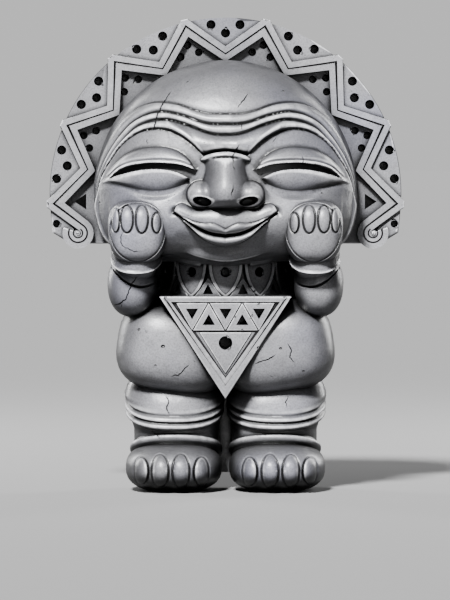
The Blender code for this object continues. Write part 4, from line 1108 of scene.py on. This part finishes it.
def head():
    """The head with its finely carved face."""
    forms = []
    around = fine(640)
    share = even_shares(fine(230))[:-1]
    back = np.linspace(math.pi / 2, 0, fine(60) + 1)[:-1]
    share, depth = np.append(share, np.sin(back)), np.append(-np.sqrt(1 - share**2), np.cos(back))
    skin("head", head_place(ways(share, depth, around)), around, forms)
    piece = mark_bulge_light_and_shade(thinned(placed("head", forms[0]), HEAD_TRIANGLES))
    return smooth(dented(cracked(piece, FACE_CRACKS, 1.2 * MM), FACE_DENTS), 50)


def arm(side):
    """A bent arm: shoulder, elbow, a tilted cuff at the wrist, and a hand flat on the cheek."""
    forms = []
    turn = Matrix.Rotation(UPPER_ARM_LEAN, 3, "X") @ Matrix.Rotation(side * UPPER_ARM_SPREAD, 3, "Y")
    soft_form("upper arm", ball_place(*sided(UPPER_ARM, side), turn=turn), fine(120), fine(80), forms)
    elbow = relief_place(ELBOW, side, elbow_relief, ELBOW_EGG)
    soft_form("elbow", elbow, fine(240), fine(160), forms)
    soft_form("forearm", ball_place(*sided(FOREARM, side)), fine(100), fine(70), forms)
    cuff = [(z, half, half * CUFF_DEPTH_SHARE, CUFF_TILT, 0) for z, half in filleted(CUFF_SECTIONS)]
    limb("cuff", side, (CUFF_X, CUFF_Y), cuff, fine(160), forms)
    soft_form("hand", relief_place(HAND, side, hand_relief, HAND_EGG), fine(320), fine(220), forms)
    piece = smooth_piece("left_arm" if side < 0 else "right_arm", forms)
    if side < 0:
        cracked(piece, ARM_CRACKS)
        cracked(piece, [HAND_CRACK], 0.9 * MM)
    return smooth(piece)


def body():
    """Chest, belly and hips."""
    forms = []
    soft_form("chest", ball_place(*CHEST), fine(160), fine(100), forms)
    soft_form("belly", ball_place(*BELLY), fine(160), fine(100), forms)
    for side in (-1, 1):
        turn = Matrix.Rotation(-side * HIP_LEAN, 3, "Y")
        soft_form("hip", ball_place(*sided(HIP, side), turn=turn), fine(220), fine(150), forms)
    return smooth(dented(cracked(smooth_piece("body", forms), BODY_CRACKS), BODY_DENTS))


def leg(side):
    """A leg with tilted rings, an ankle, and a foot with toes. The left one carries the web between."""
    forms = []
    limb("leg", side, (LEG_X, LEG_Y), filleted(LEG_SECTIONS), fine(260), forms)
    soft_form("foot", relief_place(FOOT, side, foot_relief), fine(320), fine(220), forms)
    if side < 0:
        web = [((0, WEB_Y, z * MM), WEB_HALF_X, WEB_HALF_Y, 0) for z in range(WEB_FOOT, WEB_TOP, WEB_STEP)]
        loft("web", web, 32, forms)
    piece = smooth_piece("left_leg" if side < 0 else "right_leg", forms)
    return smooth(cracked(piece, LEFT_LEG_CRACKS if side < 0 else RIGHT_LEG_CRACKS))


def link(tree, source, output, target, socket):
    tree.links.new(source.outputs[output], target.inputs[socket])


def add_node(tree, kind, **values):
    """A new node with some inputs set. An underline stands for a space in an input's name."""
    node = tree.nodes.new(kind)
    for name, value in values.items():
        node.inputs[name.replace("_", " ")].default_value = value
    return node


def mixed(tree, kind, factor, a, b):
    """Two colours mixed by a factor. Each is a number, a colour or another node's output."""
    node = add_node(tree, "ShaderNodeMix")
    node.data_type = "RGBA"
    node.blend_type = kind
    for socket, value in ((0, factor), (6, a), (7, b)):
        if isinstance(value, float):
            node.inputs[socket].default_value = value
        elif isinstance(value, tuple):
            node.inputs[socket].default_value = (*value, 1)
        else:
            tree.links.new(value, node.inputs[socket])
    return node.outputs[2]


def new_material(name):
    """A material, its tree and its shader."""
    material = bpy.data.materials.new(name)
    material.use_nodes = True
    return material, material.node_tree, material.node_tree.nodes["Principled BSDF"]


def stone(name, colours, hollow_shade_stops, shine):
    """Grey stone: painted shade in the recesses, creases, pits and on the sides, pale polished edges that are
    partly worn and partly a painted highlight, finely pocked.
    """
    material, tree, shader = new_material(name)
    place = add_node(tree, "ShaderNodeTexCoord")

    def noise(scale, detail, roughness):
        node = add_node(tree, "ShaderNodeTexNoise", Scale=scale, Detail=detail, Roughness=roughness)
        link(tree, place, "Object", node, "Vector")
        return node.outputs["Fac"]

    def ramp(source, stops):
        node = add_node(tree, "ShaderNodeValToRGB")
        elements = node.color_ramp.elements
        while len(elements) < len(stops):
            elements.new(0.5)
        for element, (position, value) in zip(elements, stops):
            element.position = position
            colour = value if isinstance(value, tuple) else (value, value, value)
            element.color = (*colour, 1)
        tree.links.new(source, node.inputs["Fac"])
        return node.outputs["Color"]

    def times(a, b):
        return mixed(tree, "MULTIPLY", 1.0, a, b)

    # Painted shade where the surface is closed in within a reach
    def hollow_shade(reach, stops):
        node = add_node(tree, "ShaderNodeAmbientOcclusion", Distance=reach)
        node.samples = 8
        return ramp(node.outputs["AO"], stops)

    def spread(source, low, high):
        node = add_node(tree, "ShaderNodeMapRange", From_Min=low, From_Max=high)
        tree.links.new(source, node.inputs["Value"])
        return node.outputs["Result"]

    facing = add_node(tree, "ShaderNodeSeparateXYZ")
    link(tree, place, "Normal", facing, "Vector")
    # How far the surface stands out or bends, and a mark on pit walls: sets painted highlights on edges and
    # painted shade in creases and pits
    wear_and_painted_light = add_node(tree, "ShaderNodeAttribute")
    wear_and_painted_light.attribute_name = "wear_and_painted_light"
    wear_and_light_level = wear_and_painted_light.outputs["Fac"]
    # Painted shade in wide hollows, which also keeps the painted edge highlight out of them
    wide = hollow_shade(WIDE_REACH, hollow_shade_stops)
    colour = ramp(noise(11, 6, 0.65), [(0.3, colours[0]), (0.7, colours[1])])
    for shade in (
        ramp(noise(7, 2, 0.5), [(0.5, (1, 1, 1)), (0.72, (0.93, 0.94, 1.08))]),
        ramp(noise(600, 2, 0.7), [(0.32, 0.7), (0.5, 1.0), (0.7, 1.2)]),
        # Painted shade: faces turned to the side are darker than those turned to the front
        ramp(spread(facing.outputs["Y"], -1, 1), FACING_SHADE),
        # Painted shade in wide and near hollows
        times(wide, hollow_shade(NEAR_REACH, NEAR_HOLLOW_SHADE)),
        # Painted shade in creases and grooves
        ramp(spread(wear_and_light_level, *GROOVE_RANGE), [(0.0, GROOVE_SHADE), (1.0, 1.0)]),
        # Painted shade on the walls of pits
        ramp(spread(wear_and_light_level, PIT_SHADE_MARK, PIT_SHADE_MARK / 2), [(0.0, PIT_SHADE), (1.0, 1.0)]),
    ):
        colour = times(colour, shade)
    # Painted highlight on convex edges, also standing for their polish from wear, broken up by noise
    patchy = ramp(noise(120, 4, 0.7), [(0.35, 0.35), (0.6, 1.0)])
    polish_and_highlight = times(times(ramp(spread(wear_and_light_level, *RIDGE_RANGE), [(0.0, 0.0), (1.0, 1.0)]), patchy), wide)
    colour = mixed(tree, "MIX", polish_and_highlight, colour, EDGE_HIGHLIGHT)
    pocks = add_node(tree, "ShaderNodeTexVoronoi", Scale=POCK_SCALE)
    link(tree, place, "Object", pocks, "Vector")
    pock = ramp(pocks.outputs["Distance"], [(0.0, 0.0), (0.06, 0.35), (0.13, 1.0)])
    pock = mixed(tree, "LIGHTEN", 1.0, pock, ramp(noise(45, 2, 0.5), [(0.5, 1.0), (0.6, 0.0)]))
    tree.links.new(mixed(tree, "MULTIPLY", 0.8, colour, pock), shader.inputs["Base Color"])
    rough = ramp(noise(60, 4, 0.6), [(0.3, ROUGH_LOW), (0.7, ROUGH_HIGH)])
    tree.links.new(mixed(tree, "MIX", polish_and_highlight, rough, ROUGH_RIDGE), shader.inputs["Roughness"])
    shader.inputs["Specular IOR Level"].default_value = shine
    bump = None
    for height, strength, distance in (
        (noise(900, 3, 0.6), 0.3, 0.4 * MM),
        (noise(90, 3, 0.5), 0.35, 1.5 * MM),
        (pock, 0.6, 0.5 * MM),
    ):
        node = add_node(tree, "ShaderNodeBump", Strength=strength, Distance=distance)
        tree.links.new(height, node.inputs["Height"])
        if bump:
            link(tree, bump, "Normal", node, "Normal")
        bump = node
    link(tree, bump, "Normal", shader, "Normal")
    return material


def wide_floor():
    """A very wide pale floor. It is darker to the light that bounces off it, so undersides stay dark."""
    bm = bmesh.new()
    bmesh.ops.create_grid(bm, x_segments=1, y_segments=1, size=FLOOR_HALF_SIZE)
    floor = placed("floor", as_mesh("floor", bm))
    material, tree, shader = new_material("pale paper")
    seen = add_node(tree, "ShaderNodeLightPath").outputs["Is Camera Ray"]
    colour = mixed(tree, "MIX", seen, FLOOR_BOUNCE, FLOOR_PALE)
    tree.links.new(colour, shader.inputs["Base Color"])
    shader.inputs["Roughness"].default_value = 0.95
    shader.inputs["Specular IOR Level"].default_value = 0.0
    floor.data.materials.append(material)


def aimed(name, data, place, target):
    """A lamp or camera that looks at its target."""
    holder = placed(name, data)
    holder.location = place
    holder.rotation_euler = (Vector(target) - Vector(place)).to_track_quat("-Z", "Y").to_euler()
    return holder


def sun(name, place, strength, degrees):
    light = bpy.data.lights.new(name, "SUN")
    light.energy = strength
    light.angle = math.radians(degrees)
    aimed(name, light, place, (0, 0, 0))


def area_light(name, place):
    light = bpy.data.lights.new(name, "AREA")
    light.shape = "RECTANGLE"
    light.size, light.size_y = RIM_SIZE
    light.energy = RIM_POWER
    aimed(name, light, place, RIM_TARGET)


def lights():
    """A key from the upper left, a weak fill, a rim from each side, and a dim room."""
    sun("key", KEY_PLACE, KEY_STRENGTH, KEY_DEGREES)
    sun("fill", FILL_PLACE, FILL_STRENGTH, FILL_DEGREES)
    x, y, z = RIM_PLACE
    area_light("left rim", (-x, y, z))
    area_light("right rim", (x, y, z))
    world = bpy.data.worlds.new("soft room")
    world.use_nodes = True
    tree = world.node_tree
    dim = tree.nodes["Background"]
    dim.inputs["Color"].default_value = WHITE
    dim.inputs["Strength"].default_value = ROOM_STRENGTH
    pale = add_node(tree, "ShaderNodeBackground", Color=WHITE, Strength=BACKDROP_STRENGTH)
    seen = add_node(tree, "ShaderNodeMixShader")
    link(tree, add_node(tree, "ShaderNodeLightPath"), "Is Camera Ray", seen, 0)
    link(tree, dim, "Background", seen, 1)
    link(tree, pale, "Background", seen, 2)
    link(tree, seen, "Shader", tree.nodes["World Output"], "Surface")
    bpy.context.scene.world = world


def camera():
    """A long lens, nearly level with the figure's middle."""
    data = bpy.data.cameras.new("camera")
    data.sensor_fit = "VERTICAL"
    data.sensor_height = SENSOR_HEIGHT
    data.lens = SENSOR_HEIGHT * CAMERA_DISTANCE / VIEW_HEIGHT
    data.clip_end = 30
    middle = Vector((VIEW_MIDDLE_X, VIEW_MIDDLE_Y, VIEW_MIDDLE_Z))
    rise = math.radians(CAMERA_ELEVATION)
    place = middle + CAMERA_DISTANCE * Vector((0, -math.cos(rise), math.sin(rise)))
    bpy.context.scene.camera = aimed("camera", data, place, middle)


def main():
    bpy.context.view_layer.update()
    for piece in list(bpy.data.objects):
        if piece.name in ("Camera", "Light"):
            bpy.data.objects.remove(piece)
    body_stone = stone("stone", BODY_STONE, BODY_HOLLOW_SHADE, BODY_SHINE)
    flat_stone = stone("flat stone", FLAT_STONE, FLAT_HOLLOW_SHADE, FLAT_SHINE)
    pieces = [head(), headdress(), collar_and_plate(), body()]
    pieces += [make(side) for make in (arm, leg) for side in (-1, 1)]
    for piece in pieces:
        flat = piece.name in ("headdress", "collar_and_plate")
        piece.data.materials.clear()
        piece.data.materials.append(flat_stone if flat else body_stone)
        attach(piece, "root")
        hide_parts("zemi_figure")
    wide_floor()
    lights()
    camera()


main()
